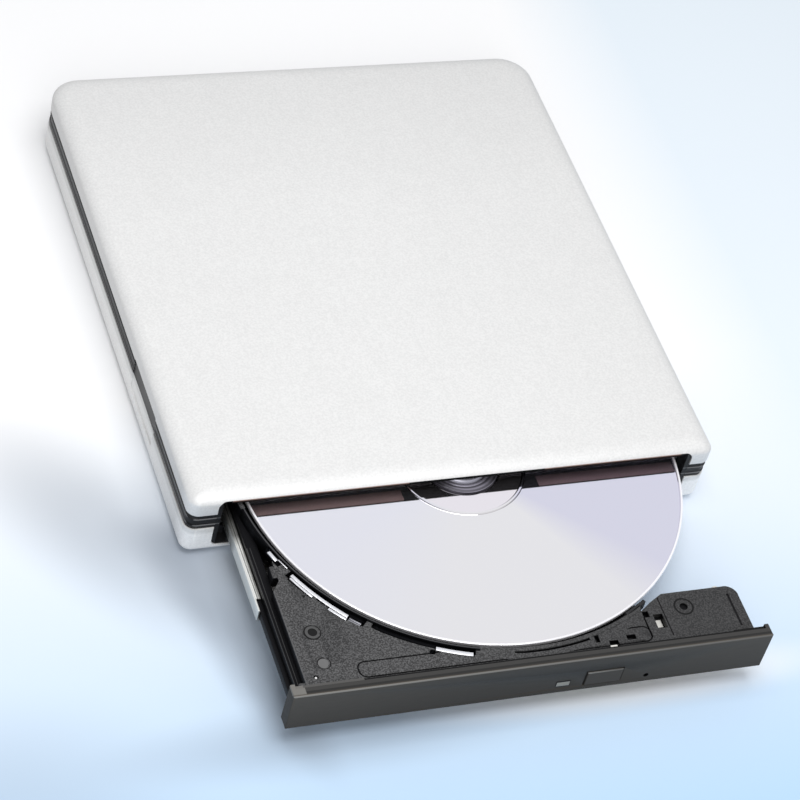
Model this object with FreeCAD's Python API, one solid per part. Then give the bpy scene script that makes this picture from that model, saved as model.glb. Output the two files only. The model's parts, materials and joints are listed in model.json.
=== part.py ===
import FreeCAD, Part
import math
import os

# Slim external DVD drive with its tray part-open and a disc on the turntable.
# Every shape is drawn in the drive's own frame, in millimetres: X to the right seen from the front,
# Y back from the front face of the case, Z up from the underside of the drive. row_place moves the
# finished pieces so that the origin lies under the middle of the whole object.

# Drive housing, in the case with a room beside it and one behind it
DRIVE_HEIGHT = 12.5
HOUSING_FRONT = 4.6
SHEET = 0.5
RAISED_BAY = 25.5
STEP_HEIGHT = 4.5
LID_TAB = 4.4
CASE_SIDE = 8.65
CASE_REAR = 26.8

# Tray travel and disc, which leaves a margin beside it and one before it
TRAY_OUT = 60.9
DISC_X = 2.0
DISC_SIDE = 4.0
DISC_BEFORE = 8.8
DISC_HOLE = 7.5
DISC_THICK = 1.2

# Outer case
CASE_WIDTH = 145.3
CASE_DEPTH = 158.4
CASE_MIDDLE = -0.65
ROOF_GAP = 0.6
ROOF_THICK = 1.3
UNDER_DRIVE_GAP = 4.3
CASE_FLOOR_THICK = 1.3
COVER_WALL = 1.6
FRONT_CORNER = 3.0
BACK_CORNER = 9.0
LEAST_CORNER = 0.8
TOP_ROLL_IN = 5.5
TOP_ROLL_UP = 2.2
BOTTOM_ROLL_IN = 3.0
BOTTOM_ROLL_UP = 2.2
ROLL_STEPS = 5
BAND_BOTTOM = 3.6
BAND_HEIGHT = 5.0
BAND_RECESS = 0.35
BAND_INNER = 3.6
TONGUE_RISE = 1.3
RIDGE_HEIGHT = 0.45
RIDGE_OUT = 0.22
NOTCH_FROM = 33.0
NOTCH_LENGTH = 21.5
NOTCH_DEPTH = 0.5
NOTCH_RISE = 2.4
SEAT_GAP = 0.1

# Front opening and its black surround
BEZEL_GAP = 0.4
BEZEL_TOP_GAP = 0.15
JAMB = 1.2
SILL = 2.8
LIP_ABOVE = 0.25
OPENING_CORNER = 1.9
SURROUND_FRONT = 0.3
POCKET_WIDTH = 2.8

# Case posts, screws and feet
POST_RADIUS = 2.3
POST_SIDE = 5.0
POST_END = 12.0
CASE_SCREW_RADIUS = 0.95
SCREW_GAP = 0.05
CASE_SCREW_HEAD = 1.7
CASE_SCREW_LENGTH = 14.5
FOOT_RADIUS = 5.0
FOOT_PROUD = 0.8
FOOT_SINK = 0.6
FOOT_INSET = 15.0

# Rails and their guides, from each inner wall of the deep bay towards its middle
GUIDE_WEB = 0.35
GUIDE_ARM = 0.85
RAIL_GAP = 0.15
RAIL_SHEET = 0.5
RAIL_FLANGE = 1.7
RAIL_Z = 4.75
RAIL_LENGTH = 110.0
RAIL_SHARE = 0.56
RAIL_NOSE = 3.8
RAIL_CLOSED_GAP = 0.4
TONGUE_GAP = 0.2
TONGUE_HEIGHT = 2.3
GUIDE_INSET = 1.4
GUIDE_BEHIND = 11.6

# Tray
TRAY_BEHIND = 1.0
TRAY_WALL = 1.2
DECK_CLEARANCE = 1.1
DECK_THICK = 1.5
LIP_RISE = 0.2
LIP_WALL = 1.1
WELL_GAP = 1.6
DISC_SINK = 0.9
DISC_LIFT = 0.9
FLOOR_THICK = 1.0
LEDGE = 1.8
DECK_BREAK = 35.4
DECK_BREAK_STEP = 2.3
DECK_MARK_X = 5.9
RIBBON_ROOM = 1.2
RIBBON_HALF = 6.0
RIBBON_THICK = 0.2
RIBBON_FOLD = 34.0
SHIELD_SHEET = 0.4
SHIELD_SCREW_SIDE = 4.2

# Ear at the right of the tray front
EAR_FROM_END = 3.4
EAR_LENGTH = 14.5
EAR_FROM_BAY = 1.5
EAR_SLANT = 3.3
EAR_CORNER = 3.2
EAR_SKIRT = 3.6

# Bezel, with its button, lamp window and hole placed from its right end
BEZEL_DEPTH = 3.9
BEZEL_PLATE = 1.8
BEZEL_RIM = 1.2
BEZEL_TOP_DEPTH = 2.6
BEZEL_STEP = 0.9
BUTTON_FROM_END = 50.1
BUTTON_WIDTH = 10.1
BUTTON_Z = 1.9
BUTTON_HEIGHT = 5.2
BUTTON_GAP = 0.2
BUTTON_PROUD = 0.2
BUTTON_STROKE = 0.35
LED_FROM_END = 57.9
LED_WIDTH = 3.8
LED_Z = 2.6
LED_HEIGHT = 2.2
PINHOLE_FROM_END = 33.0
PINHOLE_Z = 2.8
PINHOLE_RADIUS = 0.65

# Spindle, turntable and hub
SHAFT_RADIUS = 1.0
RUN_GAP = 0.05
STATOR_RADIUS = 9.0
BELL_RADIUS = 12.6
BELL_WALL = 0.8
TABLE_RADIUS = 14.3
TABLE_THICK = 0.6
PAD_THICK = 0.3
PAD_INNER = 10.8
HUB_GAP = 0.1
HUB_RISE = 1.4
CLAW_WIDTH = 2.2
CLAW_ROOT = 5.2
CLAW_REACH = 0.4
CLAW_HEIGHT = 0.7
CLAW_STROKE = 0.6
CLAW_COUNT = 3

# Traverse: pickup sled, rods, lead screw and chassis, drawn along its own Y axis from the spindle
TRAVERSE_TURN = 135.0
CHASSIS_SHEET = 0.7
CHASSIS_LEFT = -21.5
CHASSIS_RIGHT = 19.5
CHASSIS_BACK = -19.0
CHASSIS_SHORT = 17.85
MAIN_ROD_RADIUS = 1.3
MAIN_ROD_X = 17.0
SIDE_ROD_RADIUS = 1.0
SIDE_ROD_X = -15.0
ROD_START = 13.5
ROD_SHORT = 0.6
ROD_POST = 1.8
SCREW_X = -19.3
SCREW_RADIUS = 1.0
SCREW_START = 16.2
FEED_MOTOR_WIDTH = 4.4
FEED_MOTOR_LENGTH = 9.0
LENS_REST = 30.0
SLED_HALF_WIDTH = 12.0
SLED_HALF_LENGTH = 7.0
SLED_GAP = 0.2
SLED_HEADROOM = 0.3
LENS_WELL = 6.0
MAGNET_THICK = 1.4
MAGNET_HALF = 4.5
LENS_RADIUS = 2.2
LASER_RADIUS = 1.5
LASER_REACH = 2.6
LASER_X = -7.0
DAMPER_RADIUS = 2.6
DAMPER_BORE = 1.3
WINDOW_HALF_WIDTH = 13.0
WINDOW_SHORT = 5.6
SPINDLE_WINDOW = 15.3

# Latch, solenoid and ejector below the ear
LATCH_FROM_BAY = 6.0
LATCH_FROM_FRONT = 9.7
LATCH_PIN_RADIUS = 1.1
LATCH_THICK = 1.2
LATCH_EYE = 2.4
CATCH_PIN_REACH = 8.1
CATCH_PIN_BACK = 1.6
CATCH_PIN_RADIUS = 1.1
CATCH_GAP = 0.3
CATCH_BITE = 0.9
LATCH_SWING = 20.0
EJECTOR_FROM_END = 6.8
EJECTOR_RADIUS = 0.9
EJECTOR_STROKE = 2.6

# Boards and sockets
BOARD_THICK = 0.8
BRIDGE_THICK = 1.0
BRIDGE_LEFT = 18.0
BRIDGE_RIGHT = 33.0
BRIDGE_GAP = 4.0
BRIDGE_END = 5.6
USB_WIDTH = 9.0
USB_HEIGHT = 3.2
USB_DEPTH = 7.5
USB_WALL = 0.3
USB_FROM_BAY = 8.5

# Levels worked out from the sizes above
DRIVE_WIDTH = CASE_WIDTH - 2 * CASE_SIDE
HALF_DRIVE = DRIVE_WIDTH / 2
HOUSING_DEPTH = CASE_DEPTH - HOUSING_FRONT - CASE_REAR
STEP_X = HALF_DRIVE - RAISED_BAY
DISC_RADIUS = HALF_DRIVE - DISC_SIDE
TRAY_LENGTH = HOUSING_DEPTH - TRAY_BEHIND
GUIDE_LENGTH = HOUSING_DEPTH - GUIDE_INSET - GUIDE_BEHIND
BUTTON_X = HALF_DRIVE - BUTTON_FROM_END
LED_X = HALF_DRIVE - LED_FROM_END
PINHOLE_X = HALF_DRIVE - PINHOLE_FROM_END
LID_UNDER = DRIVE_HEIGHT - SHEET
CASE_TOP = DRIVE_HEIGHT + ROOF_GAP + ROOF_THICK
CASE_BOTTOM = -UNDER_DRIVE_GAP - CASE_FLOOR_THICK
BAND_TOP = BAND_BOTTOM + BAND_HEIGHT
HALF_CASE = CASE_WIDTH / 2
CASE_LEFT = CASE_MIDDLE - HALF_CASE
CASE_RIGHT = CASE_MIDDLE + HALF_CASE
HOUSING_BACK = HOUSING_FRONT + HOUSING_DEPTH
BEZEL_FRONT = -TRAY_OUT
TRAY_FRONT = BEZEL_FRONT + BEZEL_DEPTH
TRAY_BACK = TRAY_FRONT + TRAY_LENGTH
DISC_Y = BEZEL_FRONT + DISC_BEFORE + DISC_RADIUS
DECK_TOP = LID_UNDER - DECK_CLEARANCE
DISC_TOP = DECK_TOP - DISC_SINK
DISC_BOTTOM = DISC_TOP - DISC_THICK
FLOOR_TOP = DISC_BOTTOM - DISC_LIFT
FLOOR_UNDER = FLOOR_TOP - FLOOR_THICK
DECK_UNDER = DECK_TOP - DECK_THICK
SHIELD_UNDER = SHEET + RIBBON_ROOM
SHIELD_TOP = SHIELD_UNDER + SHIELD_SHEET
WELL_RADIUS = DISC_RADIUS + WELL_GAP
LIP_RADIUS = WELL_RADIUS + LIP_WALL
BAY_LEFT = -HALF_DRIVE + SHEET
BAY_RIGHT = STEP_X
BAY_MIDDLE = (BAY_LEFT + BAY_RIGHT) / 2
RAIL_FACE = GUIDE_WEB + RAIL_GAP
RAIL_TIP = RAIL_FACE + RAIL_FLANGE
SKIRT_LEFT = BAY_LEFT + RAIL_TIP + TONGUE_GAP
SKIRT_RIGHT = 2 * BAY_MIDDLE - SKIRT_LEFT
DECK_LEFT = SKIRT_LEFT + LEDGE
DECK_RIGHT = SKIRT_RIGHT - LEDGE
RAIL_HALF = TONGUE_HEIGHT / 2 + TONGUE_GAP + RAIL_SHEET
RAIL_FRONT = BEZEL_DEPTH + RAIL_CLOSED_GAP - RAIL_SHARE * TRAY_OUT
CHASSIS_UNDER = SHIELD_TOP + SLED_GAP
CHASSIS_TOP = CHASSIS_UNDER + CHASSIS_SHEET
SLED_UNDER = CHASSIS_TOP + SLED_GAP
SLED_TOP = FLOOR_UNDER - SLED_HEADROOM
ROD_Z = (SLED_UNDER + SLED_TOP) / 2
TABLE_TOP = DISC_BOTTOM - PAD_THICK
HUB_RADIUS = DISC_HOLE - HUB_GAP
RAISED_FLOOR = STEP_HEIGHT + SHEET
EAR_RIGHT = HALF_DRIVE - EAR_FROM_END
EAR_BACK = TRAY_FRONT + EAR_LENGTH
EAR_SLANT_X = STEP_X + EAR_FROM_BAY
EAR_SLANT_Y = EAR_BACK - EAR_SLANT
LATCH_X = STEP_X + LATCH_FROM_BAY
LATCH_Y = TRAY_FRONT + LATCH_FROM_FRONT
EJECTOR_X = HALF_DRIVE - EJECTOR_FROM_END
USB_X = STEP_X - USB_FROM_BAY
CHASSIS_END = DISC_RADIUS * math.sqrt(2) - CHASSIS_SHORT
ROD_END = CHASSIS_END - ROD_SHORT
WINDOW_END = CHASSIS_END - WINDOW_SHORT
OPENING_HALF = HALF_DRIVE + BEZEL_GAP + JAMB + SEAT_GAP
OPENING_TOP = DRIVE_HEIGHT + BEZEL_TOP_GAP + LIP_ABOVE + SEAT_GAP
OPENING_BOTTOM = -BEZEL_GAP - SILL


def point(x, y, z=0.0):
    """A position in the drive frame."""
    return FreeCAD.Vector(x, y, z)


UP = point(0, 0, 1)
ORIGIN = point(0, 0, 0)


# General shapes

def box(x0, x1, y0, y1, z0, z1):
    """Rectangular block between two corners."""
    return Part.makeBox(x1 - x0, y1 - y0, z1 - z0, point(x0, y0, z0))


def disc(x, y, z0, z1, radius):
    """Upright cylinder."""
    return Part.makeCylinder(radius, z1 - z0, point(x, y, z0))


def ring(x, y, z0, z1, outer, inner):
    """Upright tube."""
    return disc(x, y, z0, z1, outer).cut(disc(x, y, z0, z1, inner))


def rod_y(x, y0, y1, z, radius):
    """Cylinder lying along Y."""
    return Part.makeCylinder(radius, y1 - y0, point(x, y0, z), point(0, 1, 0))


def rod_x(x0, x1, y, z, radius):
    """Cylinder lying along X."""
    return Part.makeCylinder(radius, x1 - x0, point(x0, y, z), point(1, 0, 0))


def plate(points, z0, z1):
    """Prism on a polygon given as (x, y) corners."""
    wire = Part.makePolygon([point(x, y, z0) for x, y in points + points[:1]])
    return Part.Face(wire).extrude(point(0, 0, z1 - z0))


def strip_y(points, y0, y1):
    """Prism along Y on a polygon given as (x, z) corners."""
    wire = Part.makePolygon([point(x, y0, z) for x, z in points + points[:1]])
    return Part.Face(wire).extrude(point(0, y1 - y0, 0))


def rounded_wire(x0, x1, y0, y1, radius, z, front=None):
    """Closed rectangle with round corners, lying at one height; the front pair may differ."""
    near = front or radius
    corners = [(x1, y1, 0, radius), (x0, y1, 90, radius), (x0, y0, 180, near), (x1, y0, 270, near)]
    edges = []
    ends = []
    for x, y, start, radius in corners:
        centre = point(x - math.copysign(radius, x - (x0 + x1) / 2),
                       y - math.copysign(radius, y - (y0 + y1) / 2), z)
        circle = Part.Circle(centre, UP, radius)
        arc = Part.ArcOfCircle(circle, math.radians(start), math.radians(start + 90))
        edges.append(arc.toShape())
        ends.append((arc.StartPoint, arc.EndPoint))
    wire = []
    for index, edge in enumerate(edges):
        wire.append(edge)
        wire.append(Part.makeLine(ends[index][1], ends[(index + 1) % 4][0]))
    return Part.Wire(wire)


def rounded_block(x0, x1, y0, y1, radius, z0, z1):
    """Rectangular block with round upright edges."""
    return Part.Face(rounded_wire(x0, x1, y0, y1, radius, z0)).extrude(point(0, 0, z1 - z0))


def arc_band(inner, outer, start, end, z0, z1):
    """Sector of a ring round the disc's centre, between two angles in degrees from +X."""
    sector = Part.makeCylinder(outer, z1 - z0, point(0, 0, z0), UP, end - start)
    band = sector.cut(disc(0, 0, z0, z1, inner))
    band.rotate(ORIGIN, UP, start)
    band.translate(point(DISC_X, DISC_Y))
    return band


def lathe(profile, x=0.0, y=0.0):
    """Full turn of a polygon of (radius, z) corners round an upright axis."""
    wire = Part.makePolygon([point(r, 0, z) for r, z in profile + profile[:1]])
    solid = Part.Face(wire).revolve(ORIGIN, UP, 360)
    solid.translate(point(x, y))
    return solid


def join(first, *others):
    """Fuse touching shapes into one."""
    return first.fuse(list(others)).removeSplitter()


def cut(shape, *tools):
    """Take tools out of a shape."""
    return shape.cut(list(tools)).removeSplitter()


def group(shapes):
    """Keep separate solids together in one piece."""
    return Part.makeCompound(shapes)


def soften(shape, radius, wanted):
    """Round the edges whose middle point passes a test."""
    edges = [edge for edge in shape.Edges if wanted(edge.CenterOfMass)]
    return shape.makeFillet(radius, edges)


def mirror_bay(shape):
    """Copy a left-hand piece to the right side of the deep bay."""
    return shape.mirror(point(BAY_MIDDLE, 0, 0), point(1, 0, 0))


def both_sides(shape):
    """A left-hand piece and its right-hand copy."""
    return [shape, mirror_bay(shape)]


def on_traverse(shape):
    """Turn a piece drawn along the traverse into its place on the tray."""
    placed = shape.copy()
    placed.rotate(ORIGIN, UP, TRAVERSE_TURN)
    placed.translate(point(DISC_X, DISC_Y))
    return placed


def case_corners(side, end):
    """Four places near the corners of the case."""
    return [(CASE_MIDDLE + s * (HALF_CASE - side), y) for s in (-1, 1) for y in (end, CASE_DEPTH - end)]


# Outer case

def case_wire(inset, z):
    """Outline of the case at one height, drawn in by an inset."""
    return rounded_wire(CASE_LEFT + inset, CASE_RIGHT - inset, inset, CASE_DEPTH - inset,
                        max(BACK_CORNER - inset, LEAST_CORNER), z, max(FRONT_CORNER - inset, LEAST_CORNER))


def case_outline(inset, z0, z1):
    """Block on the outline of the case, drawn in by an inset."""
    return Part.Face(case_wire(inset, z0)).extrude(point(0, 0, z1 - z0))


def pillow(inset, seam, face, roll_in, roll_up):
    """Cover body from the seam to its face, with an oval roll round the face."""
    turn = face - math.copysign(roll_up, face - seam)
    body = case_outline(inset, min(seam, turn), max(seam, turn))
    sections = []
    for step in range(ROLL_STEPS + 1):
        angle = math.pi / 2 * step / ROLL_STEPS
        height = turn + (face - turn) * math.sin(angle)
        sections.append(case_wire(inset + roll_in * (1 - math.cos(angle)), height))
    return join(body, Part.makeLoft(sections, True, True))


def opening_tool(inset, y0, y1):
    """Rounded cutter for the front opening, drawn in by an inset."""
    wire = rounded_wire(-OPENING_HALF + inset, OPENING_HALF - inset, OPENING_BOTTOM + inset,
                        OPENING_TOP - inset, OPENING_CORNER - inset, 0)
    tool = Part.Face(wire).extrude(point(0, 0, y1 - y0))
    tool.rotate(ORIGIN, point(1, 0, 0), 90)
    tool.translate(point(0, y1, 0))
    return tool


def side_notch():
    """Shallow step in the left side, across the band and the edges beside it."""
    return box(CASE_LEFT - 1, CASE_LEFT + NOTCH_DEPTH, NOTCH_FROM, NOTCH_FROM + NOTCH_LENGTH,
               BAND_BOTTOM - 2 * NOTCH_RISE, BAND_TOP + NOTCH_RISE)


def top_cover():
    """Pillowed metal top shell with four screw posts."""
    shell = pillow(0, BAND_TOP, CASE_TOP, TOP_ROLL_IN, TOP_ROLL_UP).cut(
        pillow(COVER_WALL, BAND_TOP, CASE_TOP - ROOF_THICK, TOP_ROLL_IN, TOP_ROLL_UP))
    under_roof = CASE_TOP - ROOF_THICK / 2
    posts = [disc(x, y, BAND_TOP, under_roof, POST_RADIUS) for x, y in case_corners(POST_SIDE, POST_END)]
    bores = [disc(x, y, BAND_TOP, under_roof - ROOF_THICK, CASE_SCREW_RADIUS + SCREW_GAP)
             for x, y in case_corners(POST_SIDE, POST_END)]
    return cut(join(shell, *posts), opening_tool(0, -1, COVER_WALL + TOP_ROLL_IN), side_notch(), *bores)


def bottom_cover():
    """Metal bottom shell with screw posts, drive ribs and foot seats."""
    shell = pillow(0, BAND_BOTTOM, CASE_BOTTOM, BOTTOM_ROLL_IN, BOTTOM_ROLL_UP).cut(
        pillow(COVER_WALL, BAND_BOTTOM, CASE_BOTTOM + CASE_FLOOR_THICK, BOTTOM_ROLL_IN, BOTTOM_ROLL_UP))
    floor = CASE_BOTTOM + CASE_FLOOR_THICK
    posts = [disc(x, y, floor - 0.5, BAND_BOTTOM, POST_RADIUS) for x, y in case_corners(POST_SIDE, POST_END)]
    ribs = [box(x - 0.8, x + 0.8, HOUSING_FRONT + 12, HOUSING_BACK - 12, floor - 0.5, 0)
            for x in (-HALF_DRIVE + 12, BAY_MIDDLE, BAY_RIGHT - 12)]
    ribs.append(box(BAY_RIGHT + 8, BAY_RIGHT + 9.6, HOUSING_FRONT + 12, HOUSING_BACK - 12, floor - 0.5,
                    STEP_HEIGHT))
    pads = [disc(x, y, floor - 0.5, bridge_under(), 2.2) for x, y in bridge_screws()]
    bores = [disc(x, y, CASE_BOTTOM, BAND_BOTTOM, CASE_SCREW_RADIUS + SCREW_GAP)
             for x, y in case_corners(POST_SIDE, POST_END)]
    bores += [disc(x, y, CASE_BOTTOM - 1, screw_seat(), CASE_SCREW_HEAD + SEAT_GAP)
              for x, y in case_corners(POST_SIDE, POST_END)]
    bores += [disc(x, y, bridge_under() - 2, bridge_under(), 0.8) for x, y in bridge_screws()]
    seats = [disc(x, y, CASE_BOTTOM - 1, CASE_BOTTOM + FOOT_SINK, FOOT_RADIUS + SEAT_GAP)
             for x, y in case_corners(FOOT_INSET, FOOT_INSET)]
    body = join(shell, *posts, *ribs, *pads)
    return cut(body, opening_tool(0, -1, COVER_WALL + BOTTOM_ROLL_IN), side_notch(), *bores, *seats)


def screw_seat():
    """Height of the case screws' seats in the bottom posts."""
    return CASE_BOTTOM + CASE_FLOOR_THICK + 0.3


def band_ring(outer, inner, z0, z1):
    """Ring between two insets of the case outline."""
    return case_outline(outer, z0, z1).cut(case_outline(inner, z0, z1))


def middle_frame():
    """Black band with two ridges, locating tongues, screw eyes and the surround of the opening."""
    band = band_ring(BAND_RECESS, BAND_INNER, BAND_BOTTOM, BAND_TOP)
    tongue = band_ring(COVER_WALL + SEAT_GAP, POST_SIDE - POST_RADIUS - SEAT_GAP, BAND_BOTTOM - TONGUE_RISE,
                       BAND_TOP + TONGUE_RISE)
    ridges = [band_ring(BAND_RECESS - RIDGE_OUT, BAND_RECESS + 0.5, z, z + RIDGE_HEIGHT)
              for z in (BAND_BOTTOM + 0.19 * BAND_HEIGHT, BAND_BOTTOM + 0.63 * BAND_HEIGHT)]
    eyes = [disc(x, y, BAND_BOTTOM, BAND_TOP, POST_RADIUS) for x, y in case_corners(POST_SIDE, POST_END)]
    holes = [disc(x, y, BAND_BOTTOM, BAND_TOP, CASE_SCREW_RADIUS + SCREW_GAP)
             for x, y in case_corners(POST_SIDE, POST_END)]
    surround = opening_tool(SEAT_GAP, SURROUND_FRONT, HOUSING_FRONT)
    body = join(band, tongue, *ridges, *eyes).cut(opening_tool(SEAT_GAP, -1, BAND_INNER))
    frame = cut(join(body, surround), drive_window(-1, HOUSING_FRONT + 1), side_notch(), usb_window(), *holes)
    return cut(frame, *sill_pockets())


def drive_window(y0, y1):
    """Space for the drive and its bezel through the surround."""
    half = HALF_DRIVE + BEZEL_GAP
    return box(-half, half, y0, y1, -BEZEL_GAP + 0.1, DRIVE_HEIGHT + BEZEL_TOP_GAP)


def sill_pockets():
    """Blind dark pockets at both lower corners of the surround."""
    half = HALF_DRIVE + BEZEL_GAP
    return [box(min(s * half, s * (half - POCKET_WIDTH)), max(s * half, s * (half - POCKET_WIDTH)),
                -1, HOUSING_FRONT - 1, OPENING_BOTTOM + 0.6, 0) for s in (-1, 1)]


def rubber_feet():
    """Four round feet, domed a little at their rim."""
    low = CASE_BOTTOM - FOOT_PROUD
    profile = [(0, low), (FOOT_RADIUS - 0.5, low), (FOOT_RADIUS, low + 0.4),
               (FOOT_RADIUS, CASE_BOTTOM + FOOT_SINK), (0, CASE_BOTTOM + FOOT_SINK)]
    return group([lathe(profile, x, y) for x, y in case_corners(FOOT_INSET, FOOT_INSET)])


def case_screws():
    """Four screws from below through both shells and the frame."""
    seat = screw_seat()
    screw = [(0, seat - 1.1), (CASE_SCREW_HEAD, seat - 1.1), (CASE_SCREW_HEAD, seat),
             (CASE_SCREW_RADIUS, seat), (CASE_SCREW_RADIUS, seat + CASE_SCREW_LENGTH),
             (0, seat + CASE_SCREW_LENGTH)]
    return group([lathe(screw, x, y) for x, y in case_corners(POST_SIDE, POST_END)])


# USB bridge at the back of the case

def bridge_under():
    """Underside of the bridge board, which centres the USB socket on the black band."""
    return BAND_BOTTOM + BAND_HEIGHT / 2 - USB_HEIGHT / 2 - BRIDGE_THICK


def bridge_screws():
    """Places of the two screws that hold the bridge board."""
    y = CASE_DEPTH - BRIDGE_END - 10.4
    return [(USB_X - BRIDGE_LEFT + 4, y), (USB_X + BRIDGE_RIGHT - 15, y)]


def usb_level():
    """Underside of the USB socket on its board."""
    return bridge_under() + BRIDGE_THICK


def usb_window():
    """Cut through the back of the band for the USB socket."""
    return rounded_slot_y(USB_X, CASE_DEPTH - 10, CASE_DEPTH + 1, usb_level() + USB_HEIGHT / 2,
                          USB_WIDTH / 2 + SEAT_GAP, USB_HEIGHT / 2 + SEAT_GAP)


def rounded_slot_y(x, y0, y1, z, half_width, half_height):
    """Flat-sided oval bar lying along Y."""
    middle = box(x - half_width + half_height, x + half_width - half_height, y0, y1,
                 z - half_height, z + half_height)
    ends = [rod_y(x + s * (half_width - half_height), y0, y1, z, half_height) for s in (-1, 1)]
    return join(middle, *ends)


def usb_socket():
    """Oval metal shell with a tongue inside."""
    z = usb_level() + USB_HEIGHT / 2
    back = CASE_DEPTH - BAND_RECESS - 0.3
    shell = rounded_slot_y(USB_X, back - USB_DEPTH, back, z, USB_WIDTH / 2, USB_HEIGHT / 2)
    mouth = rounded_slot_y(USB_X, back - USB_DEPTH + 1, back + 1, z, USB_WIDTH / 2 - USB_WALL,
                           USB_HEIGHT / 2 - USB_WALL)
    tongue = box(USB_X - 3.2, USB_X + 3.2, back - USB_DEPTH + 0.5, back - 1.2, z - 0.35, z + 0.35)
    return join(cut(shell, mouth), tongue)


def bridge_board():
    """Small board behind the drive that carries both sockets."""
    under = bridge_under()
    board = box(USB_X - BRIDGE_LEFT, USB_X + BRIDGE_RIGHT, HOUSING_BACK + BRIDGE_GAP, CASE_DEPTH - BRIDGE_END,
                under, under + BRIDGE_THICK)
    holes = [disc(x, y, under - 1, under + BRIDGE_THICK + 1, 0.9) for x, y in bridge_screws()]
    return cut(board, *holes)


def bridge_chips():
    """Controller, crystal, regulator and two capacitors on the bridge board."""
    top = bridge_under() + BRIDGE_THICK
    y = HOUSING_BACK + BRIDGE_GAP + 6
    parts = [box(USB_X - 8, USB_X - 1, y, y + 7, top, top + 0.9),
             box(USB_X + 5.5, USB_X + 8.7, y + 6.5, y + 9, top, top + 0.8),
             box(USB_X + 3, USB_X + 6, y + 1, y + 4, top, top + 1.1)]
    parts += [disc(USB_X + x, y + 5, top, top + 2.6, 1.6) for x in (12, 16.5)]
    return group(parts)


def bridge_screw_pair():
    """Two pan-head screws that hold the bridge board."""
    top = bridge_under() + BRIDGE_THICK
    profile = [(0, top - 2.8), (0.75, top - 2.8), (0.75, top), (1.6, top), (1.5, top + 0.8), (0, top + 0.9)]
    return group([lathe(profile, x, y) for x, y in bridge_screws()])


def drive_plug_span():
    """Left and right edges of the drive's rear plug, inside the raised bay."""
    return BAY_RIGHT + 3.0, HALF_DRIVE - 2.5


def drive_plug():
    """Plug at the back of the main board, through the housing's rear wall."""
    left, right = drive_plug_span()
    body = box(left, right, HOUSING_BACK - 5.5, HOUSING_BACK + 0.6, main_board_top(), main_board_top() + 3.4)
    blades = [box(left + 1.5, left + 8.5, HOUSING_BACK + 0.6, HOUSING_BACK + 3.6, main_board_top() + 1.3,
                  main_board_top() + 2.1),
              box(left + 10.5, right - 1.5, HOUSING_BACK + 0.6, HOUSING_BACK + 3.6, main_board_top() + 1.3,
                  main_board_top() + 2.1)]
    return join(body, *blades)


def bridge_socket():
    """Socket on the bridge board that takes the drive's rear plug."""
    left, right = drive_plug_span()
    z = main_board_top()
    body = box(left, right, HOUSING_BACK + 0.9, HOUSING_BACK + 8.5, bridge_under() + BRIDGE_THICK, z + 3.4)
    slots = [box(left + 1.4, left + 8.6, HOUSING_BACK, HOUSING_BACK + 4, z + 1.2, z + 2.2),
             box(left + 10.4, right - 1.4, HOUSING_BACK, HOUSING_BACK + 4, z + 1.2, z + 2.2)]
    return cut(body, *slots)


# Drive housing

def drive_pan():
    """Folded sheet pan with a deep bay, a raised bay at the right and stiffening beads."""
    half = HALF_DRIVE
    section = [(-half, LID_UNDER), (-half, 0), (STEP_X + SHEET, 0), (STEP_X + SHEET, STEP_HEIGHT),
               (half, STEP_HEIGHT), (half, LID_UNDER), (half - SHEET, LID_UNDER),
               (half - SHEET, RAISED_FLOOR), (STEP_X, RAISED_FLOOR), (STEP_X, SHEET),
               (-half + SHEET, SHEET), (-half + SHEET, LID_UNDER)]
    tray_shape = strip_y(section, HOUSING_FRONT, HOUSING_BACK)
    end = [(-half, LID_UNDER), (-half, 0), (STEP_X + SHEET, 0), (STEP_X + SHEET, STEP_HEIGHT),
           (half, STEP_HEIGHT), (half, LID_UNDER)]
    rear = strip_y(end, HOUSING_BACK - SHEET, HOUSING_BACK)
    beads = [rounded_block(x - 1.5, x + 1.5, HOUSING_FRONT + 18, HOUSING_BACK - 18, 1.4, SHEET, SHEET + 0.3)
             for x in (BAY_LEFT + 10, BAY_LEFT + 22, BAY_RIGHT - 12)]
    tabs = [box(x, x + LID_TAB, y, y + 6, LID_UNDER - SHEET, LID_UNDER)
            for x in (-half, half - LID_TAB) for y in (HOUSING_FRONT + 5, HOUSING_BACK - 11)]
    stop = box(EJECTOR_X - 2, EJECTOR_X + 2, ejector_stop(), ejector_stop() + SHEET, RAISED_FLOOR,
               RAISED_FLOOR + 3)
    left, right = drive_plug_span()
    window = box(left - 0.3, right + 0.3, HOUSING_BACK - 1, HOUSING_BACK + 1, RAISED_FLOOR + 0.6,
                 LID_UNDER - 1.5)
    vents = [box(x - half, x - half + 7, HOUSING_BACK - 1, HOUSING_BACK + 1, 6.0, 7.2) for x in (14, 26, 38)]
    slots = [box(-half - 1, -half + 1, y, y + 9, 8.6, 9.8) for y in (HOUSING_FRONT + 12, HOUSING_BACK - 32)]
    threads = [disc(x, y, LID_UNDER - 1, LID_UNDER + 1, 0.8) for x, y in lid_screw_places()]
    return cut(join(tray_shape, rear, *beads, *tabs, stop), window, *vents, *slots, *threads)


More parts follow.
